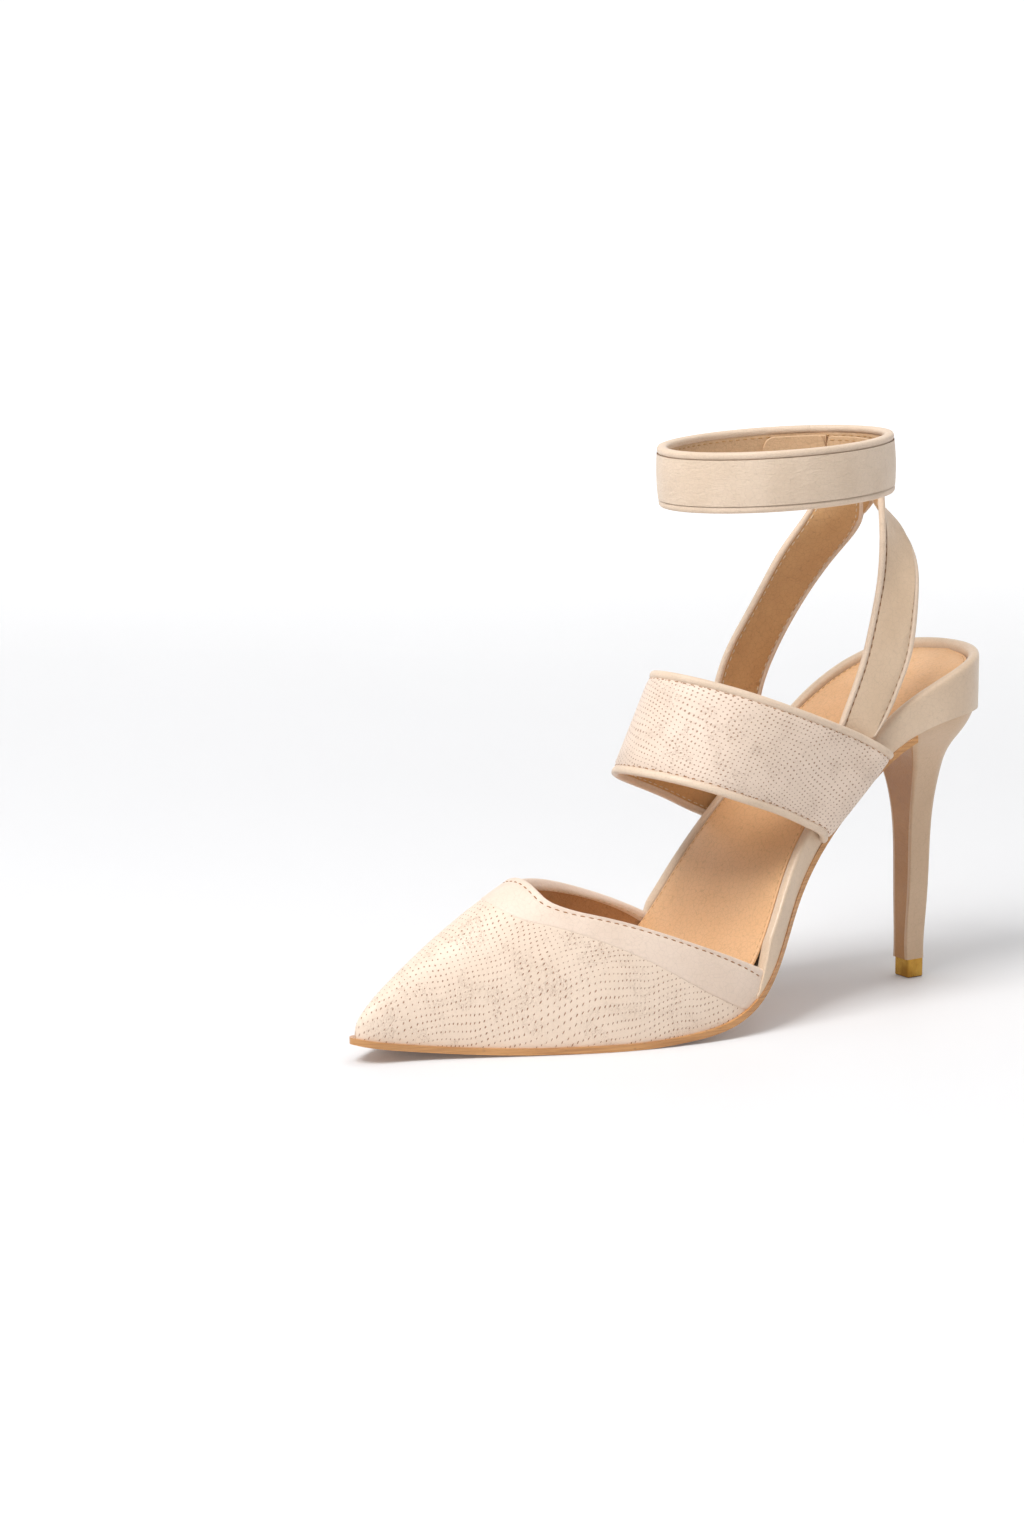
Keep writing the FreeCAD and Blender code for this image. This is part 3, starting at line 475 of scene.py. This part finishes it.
# vamp
vamp = dict(inset=1.0, share=0.54, sunk=0.6)
ridge = [
    (0.0, 9.6), (0.35, 11.2), (1.4, 13.0), (4.2, 15.8), (11.0, 20.6), (24.0, 29.0), (40.0, 38.8),
    (57.5, 48.4), (78.0, 58.0), (100.0, 66.5), (122.0, 74.0), (140.0, 80.0)
]
topline = [
    (-147.6, 48.6), (-146.6, 45.6), (-143.0, 43.5), (-133.0, 41.2), (-122.0, 38.2), (-108.0, 33.2),
    (-94.0, 27.6), (-80.0, 20.5), (-70.0, 13.5), (-64.0, 9.0)
]
seamLine = [
    (-160.0, 42.2), (-155.8, 39.8), (-149.0, 38.4), (-138.0, 35.2), (-126.0, 30.2), (-114.0, 23.6),
    (-102.0, 16.6), (-90.0, 10.8), (-78.0, 6.0)
]
ridgeLine = smoothLine(ridge, 900)


def crossingLine(points):
    dense = smoothLine(points, 600)
    y, z = np.maximum.accumulate(dense[:, 0]), dense[:, 1]
    y, z = np.concatenate([[y[0] - 30.0], y]), np.concatenate([[z[0] + 120.0], z])
    return lambda at: np.interp(at, y, z)


toplineAt, seamAt = crossingLine(topline), crossingLine(seamLine)


def vampSurface(depth):
    across = sides(vamp["inset"] + depth)
    line = planLine + planInward * (vamp["inset"] + depth)
    tip = line[:, 1].min()

    def point(y, turn):
        inner, outer = across(y)
        ridgeX = inner + (outer - inner) * vamp["share"]
        foot = outsoleTop(y) - vamp["sunk"]
        rise = np.interp(y - tip, ridgeLine[:, 0], ridgeLine[:, 1]) - depth - foot
        reach = np.where(turn < math.pi / 2, outer - ridgeX, ridgeX - inner)
        return np.stack(
            [ridgeX + reach * np.cos(turn), y + 0 * turn, foot + np.maximum(rise, 0.2) * np.sin(turn)],
            axis=-1
        )
    return point, tip


def crossings(point, tip, turns, line):
    # y where each column of the vamp meets a side-view line
    found = []
    for turn in turns:
        y = np.linspace(tip + 2, -66, 1500)
        p = point(y, np.full_like(y, turn))
        over = p[:, 2] - (line(y) - 0.1 * p[:, 0]) > 0
        found.append(y[np.argmax(over)] if over.any() else y[-1])
    smooth = np.array(found)
    for _ in range(2):
        smooth[1:-1] = (smooth[:-2] + 2 * smooth[1:-1] + smooth[2:]) / 4
    return smooth


turns = np.linspace(0, math.pi, 181)
outside, vampTip = vampSurface(0.0)
seamY = crossings(outside, vampTip, turns, seamAt)
topY = crossings(outside, vampTip, turns, toplineAt)

# forepart: from the tip to the seam, tucked a little under the band
share = np.linspace(0, 1, 150) ** 1.7
rows = vampTip + 0.03 + (seamY + 1.5 - vampTip)[None, :] * share[:, None]
tuck = np.clip((share[:, None] - 0.985) / 0.015, 0, 1) * 0.35 * np.ones_like(rows)
grid = outside(rows, np.broadcast_to(turns, rows.shape))
centre = outside(rows, np.full(rows.shape, math.pi / 2)) * [1, 1, 0] + [0, 0, 6]
away = unit(grid - centre)
grid = grid - away * tuck[..., None]
along = np.cumsum(np.linalg.norm(np.diff(grid, axis=1, prepend=grid[:, :1]), axis=2), axis=1)
pattern = np.stack([along - along[:, 90:91], rows], axis=2)
sheetPiece("vampForepart", grid, away, 1.2, embossedCream, "shoe",
           ("vamp_forepart", "toe_puff"), pattern, 60)

# smooth band: its outer face, the rolled topline and the hem turned down inside, as one closed section
widthHere = topY - seamY
ringsY, ringsDepth = [], []
for share, depth in (
    (0.0, 1.15), (0.0, 0.25), (0.012, -0.08), (0.04, -0.18), (0.1, -0.2), (0.3, -0.2), (0.5, -0.2),
    (0.7, -0.2)
):
    ringsY.append(seamY + widthHere * share)
    ringsDepth.append(depth)
for back, depth in (
    (3.1, -0.2), (2.7, -0.15), (2.3, 0.0), (1.9, 0.0), (1.55, -0.15), (1.2, -0.28), (0.6, -0.2),
    (0.2, 0.15), (0.0, 0.75), (0.05, 1.5), (0.3, 2.1), (0.8, 2.5), (1.5, 2.6), (2.2, 2.55), (2.6, 2.3),
    (2.6, 1.3)
):
    ringsY.append(topY - back)
    ringsDepth.append(depth)
surfaces = {depth: vampSurface(max(depth, 0.0))[0] for depth in set(ringsDepth)}
columns = []
for y, depth in zip(ringsY, ringsDepth):
    p = surfaces[depth](y, turns)
    if depth < 0:
        p = p - unit(
            p - (p * [0, 1, 0] + outside(y, np.full_like(y, math.pi / 2)) * [1, 0, 0] + [0, 0, 6])
        ) * depth
    columns.append(p)
rings = np.stack(columns, axis=1)
tubePiece(
    "vampToplineBand", rings, smoothCream, "shoe",
    ("vamp_topline_band", "vamp_interlining")
)

# lining of the toe box
inside, insideTip = vampSurface(1.5)
share = np.linspace(0, 1, 90) ** 1.5
rows = insideTip + 6 + (topY - 1.2 - insideTip - 6)[None, :] * share[:, None]
grid = inside(rows, np.broadcast_to(turns, rows.shape))
centre = inside(rows, np.full(rows.shape, math.pi / 2)) * [1, 1, 0] + [0, 0, 6]
sheetPiece(
    "vampLining", grid, unit(grid - centre), 0.8, liningTan, "shoe", ("vamp_lining",),
    None, 60
)

# stitching along the topline, outside and inside


def stitchRow(line, normals, pitch=2.6, length=1.8, skip=0.0):
    # places of stitches along a line: middle, direction, outward direction
    gone = np.concatenate([[0], np.cumsum(np.linalg.norm(np.diff(line, axis=0), axis=1))])
    count = int((gone[-1] - 2 * skip) / pitch)
    if count < 1:
        return []
    at = skip + (np.arange(count) + 0.5) * (gone[-1] - 2 * skip) / count
    middle = np.stack([np.interp(at, gone, line[:, k]) for k in range(3)], axis=1)
    out = unit(np.stack([np.interp(at, gone, normals[:, k]) for k in range(3)], axis=1))
    tangent = unit(np.stack([np.interp(at, gone, np.gradient(line[:, k], gone)) for k in range(3)], axis=1))
    return [(m, t, o, length) for m, t, o in zip(middle, tangent, out)]


def stitches(name, places, material, body, radius=0.24):
    # rounded stitches, each arched into the leather at both ends
    bpy.ops.mesh.primitive_uv_sphere_add(segments=6, ring_count=6, radius=1)
    seed = bpy.context.object
    shape = np.array([v.co for v in seed.data.vertices])
    faces = [list(f.vertices) for f in seed.data.polygons]
    bpy.data.objects.remove(seed)
    points, allFaces = [], []
    for middle, tangent, out, length in places:
        side = np.cross(tangent, out)
        arch = -0.5 * radius * shape[:, 2] ** 2
        p = middle + shape[:, 2:3] * tangent * length / 2 + shape[:, :1] * side * radius
        p = p + (shape[:, 1:2] * radius + arch[:, None]) * out
        allFaces += [[i + len(points) * len(shape) for i in f] for f in faces]
        points.append(p)
    mesh = bpy.data.meshes.new(name)
    mesh.from_pydata((np.concatenate(points) * mm).tolist(), [], allFaces)
    obj = bpy.data.objects.new(name, mesh)
    bpy.context.collection.objects.link(obj)
    activate(obj)
    bpy.ops.object.mode_set(mode="EDIT")
    bpy.ops.mesh.select_all(action="SELECT")
    bpy.ops.mesh.normals_make_consistent(inside=False)
    bpy.ops.object.mode_set(mode="OBJECT")
    return finishPiece(obj, material, body, angle=80)


def vampStitchLine(back, depth):
    surface = vampSurface(max(depth, 0.0))[0]
    line = surface(topY - back, turns)
    middle = line * [0, 1, 0] + surface(
        topY - back, np.full_like(topY, math.pi / 2)
    ) * [1, 0, 0] + [0, 0, 6]
    return line, unit(line - middle) * (1 if depth < 1 else -1)


outsideLine, outsideOut = vampStitchLine(2.1, 0.02)
insideLine, insideOut = vampStitchLine(1.5, 2.6)
stitches("toplineStitches", stitchRow(outsideLine, outsideOut, skip=4), threadBrown, "shoe")
stitches(
    "toplineInnerStitches", stitchRow(insideLine, insideOut, skip=4), threadCream,
    "shoe", 0.2
)
print("vamp made")

# sock, with its thin foam, and the wrapped rim
sock = dict(start=-188.0, thick=1.6, inset=4.15, crown=0.35)
sockLength = np.concatenate([np.linspace(sock["start"], -40.0, 110), np.linspace(-38.5, 13.6, 60)])
section = [
    (0.0, -sock["thick"]), (0.0, -0.75), (0.12, -0.35), (0.4, -0.1), (0.8, 0.0), (1.4, -0.12), (2.0, 0.0)
]


def sockRing(y):
    left, right = sides(sock["inset"])(y)
    half = (right - left) / 2
    ring = [(right - min(inset, half), drop) for inset, drop in section]
    for s in np.linspace(0.85, -0.85, 13):
        ring.append(((left + right) / 2 + s * max(half - 2.0, 0.01), 0.08 + sock["crown"] * (1 - s * s)))
    ring += [(left + min(inset, half), drop) for inset, drop in reversed(section)]
    return [(x, y, sockTop(y) + drop) for x, drop in ring]


rearY = (planLine + planInward * sock["inset"])[:, 1].max()
sockLength = np.concatenate([sockLength, rearY - 0.5 * (np.linspace(1, 0, 8) ** 2) * 1.6])
sockLength = np.unique(np.clip(sockLength, None, rearY - 0.004))
sockPiece = tubePiece("sock", np.array([sockRing(y) for y in sockLength]), sockTan, "shoe",
                      ("sock_lining", "sock_padding"), None, 50)

edgeLine = []
for side in (1, 0):
    y = np.linspace(-90.0, 11.0, 150)
    x = sides(5.2)(y)[side]
    line = np.stack([x, y, sockTop(y) - 0.02], axis=1)
    edgeLine += stitchRow(line, np.tile([0.0, 0.0, 1.0], (len(line), 1)), 2.4, 1.5)
stitches("sockStitches", edgeLine, threadGold, "shoe", 0.16)

# the rim is swept round the plan from the inner side of the waist, round the heel, to the outer side
rim = dict(start=-87.0, taper=6.0, steps=420)
lap = np.arange(len(planLine) - 1)
rearward = planLine[:-1, 1] > rim["start"]
first = np.where(rearward & ~np.roll(rearward, 1))[0][0]
order = np.roll(lap, -first)[:rearward.sum()]
order = order[np.linspace(0, len(order) - 1, rim["steps"]).astype(int)]
rimSection = [
    (0.35, -60, 0), (0.35, 0, -2.4), (0.4, 0, -1.5), (0.62, 0, -0.8), (1.05, 0, -0.3), (1.7, 0, -0.05),
    (2.4, 0, 0.0), (3.1, 0, -0.15), (3.6, 0, -0.55), (3.85, 0, -1.1), (3.9, 0, -2.0), (3.9, -60, 0)
]
taper = np.clip((planLine[order, 1] - rim["start"]) / rim["taper"], 0.12, 1.0)
rings = []
for inset, low, drop in rimSection:
    p = planLine[order] + planInward[order] * inset
    base = outsoleTop(p[:, 1]) + 0.02
    top = rimTop(p[:, 1])
    z = base if low else base + (top - base) * taper + drop * taper
    rings.append(np.column_stack([p, z]))
tubePiece("rimWrap", np.stack(rings, axis=1), rimCream, "shoe", ("rim_wrap",), None, 50)
print("sock and rim made")


# straps: a surface gives points at t along and s across; edges are rolled round both sides
def stationSurface(stations):
    front = smoothLine([a for a, b in stations], 700)
    rear = smoothLine([b for a, b in stations], 700)
    grid = np.linspace(0, 1, 700)

    def surface(t, s):
        f = np.stack([np.interp(t, grid, front[:, k]) for k in range(3)], axis=-1)
        r = np.stack([np.interp(t, grid, rear[:, k]) for k in range(3)], axis=-1)
        return f + (r - f) * np.asarray(s)[..., None]
    return surface


def strapPieces(name, surface, steps, turn, look, body, replaced, rows=()):
    # look: depth in all, edge width, crown, materials of leather, lining and edges
    ts = np.linspace(0, 1, steps)
    full, edge, crown = look["full"], look["edge"], look["crown"]
    inner = full - look["lining"]
    made = []
    panel = [
        (0, edge - 0.25, inner - 0.1), (0, edge - 0.25, 0.62), (0, edge + 0.05, 0.4),
        (0, edge + 0.5, 0.2), (0, edge + 1.2, 0.05)
    ]
    back = [(1, -o, d) for s, o, d in reversed(panel)]
    width = np.linalg.norm(
        surface(np.array([0.5]), np.array([1.0])) - surface(np.array([0.5]), np.array([0.0])), axis=1
    )[0]
    middle = []
    for share in np.linspace(0.12, 0.88, 9):
        middle.append((0, share * width, -crown * 4 * share * (1 - share)))
    places = panel + middle + back
    rings, _, pattern = onSurface(surface, ts, places, turn)
    closed = np.concatenate([pattern, pattern[:, :1]], axis=1)
    made.append(tubePiece(name + "Leather", rings, look["leather"], body,
                          replaced[0], closed))
    under = [(0, edge - 0.3, inner - 0.05), (0, edge - 0.1, full - 0.25), (0, edge + 0.5, full - 0.05)]
    places = under + [
        (0, share * width, full) for share in np.linspace(0.2, 0.8, 7)
    ] + [(1, -o, d) for s, o, d in reversed(under)]
    rings = onSurface(surface, ts, places, turn)[0]
    made.append(tubePiece(name + "Lining", rings, look["underside"], body, replaced[1]))
    bead = [
        (edge + 0.1, 0.55), (edge - 0.1, 0.25), (edge - 0.5, 0.0), (edge * 0.5, -0.14), (0.5, -0.02),
        (0.1, 0.3), (-0.05, full / 2), (0.1, full - 0.3), (0.5, full + 0.1), (edge * 0.5, full + 0.25),
        (edge - 0.5, full + 0.1), (edge - 0.1, full - 0.2), (edge + 0.1, full - 0.6)
    ]
    for side, label, replacedEdge in ((0, "Front", replaced[2]), (1, "Rear", replaced[3])):
        places = [(side, o if side == 0 else -o, d) for o, d in bead]
        rings = onSurface(surface, ts, places, turn)[0]
        made.append(
            tubePiece(name + label + "Edge", rings, look["rim"], body, replacedEdge)
        )
    for index, (side, offset, depth, colour, radius) in enumerate(rows):
        line, normals, _ = onSurface(surface, np.linspace(0, 1, steps * 2), [(side, offset, depth)], turn)
        out = normals[:, 0] * (1 if depth < full / 2 else -1)
        stitches(
            f"{name}Stitches{index + 1}", stitchRow(line[:, 0], out, skip=1.5), colour,
            body, radius
        )
    return made


instep = stationSurface(
    [
        ((24.6, -56.0, 54.2), (24.4, -28.6, 79.4)), ((26.2, -57.6, 56.4), (26.4, -30.6, 80.6)),
        ((27.2, -64.0, 60.4), (27.2, -38.0, 85.0)), ((27.3, -75.0, 65.6), (27.1, -51.0, 91.0)),
        ((26.4, -88.0, 70.6), (25.8, -66.0, 97.2)), ((22.4, -99.5, 75.0), (21.4, -79.5, 102.6)),
        ((13.0, -108.0, 77.6), (12.0, -91.5, 106.8)), ((-1.0, -112.2, 78.0), (-1.0, -98.8, 108.6)),
        ((-15.0, -108.4, 75.8), (-14.4, -94.0, 106.4)), ((-25.4, -100.0, 71.8), (-24.6, -82.0, 102.2)),
        ((-31.0, -88.0, 66.8), (-30.6, -68.0, 97.0)), ((-32.7, -75.0, 61.0), (-32.6, -52.0, 91.0)),
        ((-32.8, -65.0, 56.0), (-32.7, -39.0, 85.0)), ((-32.0, -59.6, 53.0), (-32.2, -31.0, 80.6)),
        ((-30.9, -57.4, 50.8), (-30.4, -29.0, 79.2)),
    ]
)
instepLook = dict(
    full=2.1, edge=2.4, crown=0.25, lining=0.8, leather=embossedStrap, underside=liningGold,
    rim=edgeCream, slot="embossed_leather"
)
strapPieces(
    "instepStrap", instep, 170, -1, instepLook, "shoe",
    (
        ("instep_strap_leather",), ("instep_strap_lining",), ("instep_strap_front_edge",),
        ("instep_strap_rear_edge",)
    ),
    (
        (0, 2.75, 0.38, threadBrown, 0.24), (1, -2.75, 0.38, threadBrown, 0.24),
        (0, 3.0, 2.08, threadCream, 0.2), (1, -3.0, 2.08, threadCream, 0.2)
    )
)
print("instep strap made")

outerSling = stationSurface(
    [
        ((22.3, -52.0, 80.8), (24.1, -35.6, 86.2)), ((22.4, -48.2, 91.0), (24.1, -30.8, 92.0)),
        ((22.5, -43.6, 101.4), (24.2, -26.2, 100.6)), ((22.4, -39.6, 111.5), (24.2, -22.4, 109.2)),
        ((21.3, -35.9, 121.8), (23.2, -19.6, 118.8)), ((19.8, -32.0, 132.7), (20.8, -16.9, 129.4)),
        ((18.0, -29.2, 142.4), (15.6, -13.8, 139.2)), ((16.2, -27.4, 151.0), (9.2, -14.6, 148.0)),
        ((14.6, -26.4, 158.6), (3.0, -19.4, 156.6)), ((13.8, -26.1, 164.0), (1.0, -21.3, 163.2)),
        ((13.8, -26.4, 170.0), (1.0, -21.6, 170.0)),
    ]
)
innerSling = stationSurface(
    [
        ((-29.9, -60.6, 82.0), (-29.9, -41.6, 81.0)), ((-29.9, -60.0, 90.4), (-29.9, -40.9, 89.6)),
        ((-29.7, -58.2, 99.2), (-29.7, -38.4, 98.6)), ((-28.9, -54.8, 108.4), (-28.9, -34.2, 108.0)),
        ((-27.8, -49.8, 117.4), (-27.4, -29.2, 117.4)), ((-25.8, -43.8, 128.6), (-24.2, -22.8, 128.8)),
        ((-22.6, -38.4, 140.0), (-19.0, -17.8, 138.6)), ((-18.8, -33.0, 149.4), (-11.4, -15.6, 147.4)),
        ((-15.4, -28.0, 158.6), (-3.6, -19.2, 156.6)), ((-13.8, -26.1, 164.0), (-1.0, -21.3, 163.2)),
        ((-13.8, -26.4, 170.0), (-1.0, -21.6, 170.0)),
    ]
)
slingLook = dict(
    full=1.8, edge=2.0, crown=0.1, lining=0.8, leather=slingCream, underside=liningGold, rim=edgeCream,
    slot="band_leather"
)
for name, surface, turn in (("outerSling", outerSling, -1), ("innerSling", innerSling, 1)):
    cad = "outer_sling" if name == "outerSling" else "inner_sling"
    strapPieces(name, surface, 110, turn, slingLook, "collar",
                ((cad + "_leather",), (cad + "_lining",), (cad + "_front_edge",), (cad + "_rear_edge",)),
                ((0, 2.3, 0.35, threadBrown, 0.2), (1, -2.3, 0.35, threadBrown, 0.2),
                 (0, 2.5, 1.78, threadCream, 0.2), (1, -2.5, 1.78, threadCream, 0.2)))
print("slings made")

# ankle band: half an oval behind rides the collar, the rest wraps round the front
ankle = dict(semiX=30.6, semiY=39.2, middleY=-57.1, low=159.1, tilt=math.radians(2.9), height=18.3)


def ankleSurface(start, stop, low=0.0, height=18.3):
    def surface(t, s):
        a = np.radians(start + (stop - start) * np.asarray(t))
        x, y = ankle["semiX"] * np.cos(a), ankle["semiY"] * np.sin(a)
        h = low + height * np.asarray(s)
        c, n = math.cos(ankle["tilt"]), math.sin(ankle["tilt"])
        return np.stack(
            [x + 0 * h, ankle["middleY"] + y * c - h * n, ankle["low"] + y * n + h * c], axis=-1
        )
    return surface


bandLook = dict(
    full=2.8, edge=2.3, crown=0.55, lining=0.9, leather=bandCream, underside=liningBand, rim=edgeCream,
    slot="band_leather"
)
bandRows = (
    (0, 2.75, 0.36, threadBrown, 0.25), (1, -2.75, 0.36, threadBrown, 0.25),
    (1, -3.1, 2.78, threadGold, 0.22)
)
rearBand = strapPieces(
    "rearBand", ankleSurface(131.6, 60.0), 70, -1, bandLook, "collar",
    (("band_leather", "band_padding"), ("band_lining",), ("band_lower_edge",), ("band_upper_edge",)),
    bandRows
)
frontBand = strapPieces(
    "frontBand", ankleSurface(60.0, -228.3), 260, -1, bandLook, "fold",
    (("flap_leather", "flap_padding"), ("flap_lining",), ("flap_lower_edge",), ("flap_upper_edge",)),
    bandRows
)


def ankleTab(name, start, stop, low, height, outer, inner, material, body, cad, corner=1.2):
    # flat piece that follows the inside of the band, with rounded ends and softened edges
    surface = ankleSurface(start, stop, low, height)
    length = np.linalg.norm(
        np.diff(surface(np.linspace(0, 1, 200), np.full(200, 0.5)), axis=0), axis=1
    ).sum()
    ts = np.unique(
        np.concatenate(
            [
                np.linspace(0, corner / length, 8), np.linspace(corner / length, 1 - corner / length, 40),
                np.linspace(1 - corner / length, 1, 8)
            ]
        )
    )
    rings = []
    for t in ts:
        end = min(t, 1 - t) * length
        pull = corner - math.sqrt(max(corner ** 2 - (corner - min(end, corner)) ** 2, 0.0))
        soft = min((inner - outer) * 0.35, 0.4) * min(1.0, end / 0.4 + 0.3)
        places = [
            (0, pull + soft, outer), (1, -pull - soft, outer), (1, -pull, outer + soft),
            (1, -pull, inner - soft), (1, -pull - soft, inner), (0, pull + soft, inner),
            (0, pull, inner - soft), (0, pull, outer + soft)
        ]
        rings.append(onSurface(surface, np.array([t, t + 1e-6]), places, -1)[0][0])
    return tubePiece(name, np.array(rings), material, body, (cad,), None, 40)


ankleTab("hookTape", 156, 134, 3.0, 11.5, 2.8, 3.3, tapeCream, "ankle_flap", "hook_tape")
ankleTab("loopTape", 156, 134, 3.4, 11.5, 3.5, 4.0, tapeCream, "collar", "loop_tape")
ankleTab(
    "closureTab", 158, 121.5, 2.8, 12.7, 4.0, 4.8, liningBand, "collar", "closure_tab",
    4.0
)
ankleTab(
    "tabRoot", 131, 121.5, 2.8, 12.7, 2.8, 4.0, liningBand, "collar", "tab_root", 0.6
)
ankleTab(
    "slingPatch", 119.5, 58, 1.6, 13.9, 6.2, 7.0, liningBand, "collar", "sling_patch",
    2.4
)
patch = ankleSurface(119.5, 58, 1.6, 13.9)
for index, (side, offset) in enumerate(((0, 1.3), (1, -1.3))):
    line, normals, _ = onSurface(patch, np.linspace(0.02, 0.98, 90), [(side, offset, 7.0)], -1)
    stitches(
        f"patchStitches{index + 1}", stitchRow(line[:, 0], -normals[:, 0]), threadGold,
        "collar", 0.2
    )
print("ankle band made")

# finishes for the pieces that come over from the frame
finishes = dict(
    heel_cover=heelCream, heel_breast_cover=breastTan, heel_ferrule=brass, top_lift=liftTan,
    outsole=soleTan, bottom_filler=foamCream, shank_spring=steelGrey, heel_tube=steelGrey,
    heel_screw=steelGrey, heel_core=plasticWhite, insole_board=boardGrey, lift_pin=steelGrey,
)
for name, obj in nodes.items():
    material = finishes.get(name)
    if material is None and name.startswith("heel_nails"):
        material = steelGrey
    if obj.hide_render or material is None:
        if not obj.hide_render:
            print("no finish for", name)
        continue
    obj.data.materials.clear()
    obj.data.materials.append(material)
    activate(obj)
    bpy.ops.object.shade_smooth_by_angle(angle=math.radians(38))

# stage, lights, camera
floorLook = Shader("floor")
grey = floorLook.noise(3, 2.0)
floorLook.finish(floorLook.mix(grey, tone(226, 226, 227), tone(222, 222, 223)), 0.6, specular=0.2)
floorLook.surface.inputs["Emission Color"].default_value = (1, 1, 1, 1)
axes = floorLook.add("SeparateXYZ", Vector=floorLook.where)
toFront = floorLook.maths(
    "MULTIPLY_ADD", axes.outputs["X"], 0.836, floorLook.maths("MULTIPLY", axes.outputs["Y"], -0.549)
)
floorLook.put(floorLook.surface.inputs["Emission Strength"], floorLook.ramp(toFront, -0.1, -1.6, 0.07, 0.5))
bend = dict(start=1.9, radius=1.1, top=2.6)
profile = [(r, 0.0) for r in (0.0, 0.3, 0.8, 1.4, bend["start"])]
for a in np.linspace(0.15, math.pi / 2, 10):
    profile.append((bend["start"] + bend["radius"] * math.sin(a), bend["radius"] * (1 - math.cos(a))))
profile.append((bend["start"] + bend["radius"], bend["top"]))
turnsRound = np.linspace(0, 2 * math.pi, 97)
bowl = np.array(
    [[(r * math.cos(a), r * math.sin(a) - 0.1, z - 0.0001) for a in turnsRound] for r, z in profile]
) / mm
floor = placedGrid("floorBowl", bowl)
activate(floor)
bpy.ops.object.mode_set(mode="EDIT")
bpy.ops.mesh.select_all(action="SELECT")
bpy.ops.mesh.remove_doubles(threshold=0.0001)
bpy.ops.mesh.normals_make_consistent(inside=True)
bpy.ops.object.mode_set(mode="OBJECT")
bpy.ops.object.shade_smooth()
floor.data.materials.append(floorLook.material)

world = bpy.data.worlds.new("studio")
bpy.context.scene.world = world
world.use_nodes = True
world.node_tree.nodes["Background"].inputs["Color"].default_value = (1, 1, 1, 1)
world.node_tree.nodes["Background"].inputs["Strength"].default_value = 0.22


def softLight(name, place, target, size, power, colour=(1, 1, 1)):
    bpy.ops.object.light_add(type="AREA", location=place)
    lamp = bpy.context.object
    lamp.name = name
    lamp.rotation_euler = (Vector(place) - Vector(target)).to_track_quat("Z", "Y").to_euler()
    lamp.data.size, lamp.data.energy, lamp.data.color = size, power, colour
    return lamp


middle = (0.0, -0.1, 0.07)
softLight("keyLight", (0.25, -1.1, 1.5), middle, 0.8, 27)
softLight("sideLight", (1.3, -0.5, 0.7), middle, 1.0, 0.3)
softLight("topLight", (0.1, 0.1, 1.6), middle, 1.2, 7)

framing = dict(azimuth=56.69, elevation=10.48, distance=1.0252, target=(-0.0134, -0.1462, 0.0813), lens=79.69)
azimuth, elevation = math.radians(framing["azimuth"]), math.radians(framing["elevation"])
level = math.cos(elevation)
backward = Vector((math.sin(azimuth) * level, -math.cos(azimuth) * level, math.sin(elevation)))
bpy.ops.object.camera_add(location=Vector(framing["target"]) + backward * framing["distance"])
camera = bpy.context.object
camera.name = "studioCamera"
camera.rotation_euler = backward.to_track_quat("Z", "Y").to_euler()
camera.data.lens, camera.data.sensor_width, camera.data.sensor_fit = framing["lens"], 36, "AUTO"
camera.data.clip_start, camera.data.clip_end = 0.01, 20
bpy.context.scene.camera = camera
bpy.context.scene.view_settings.view_transform = "Standard"
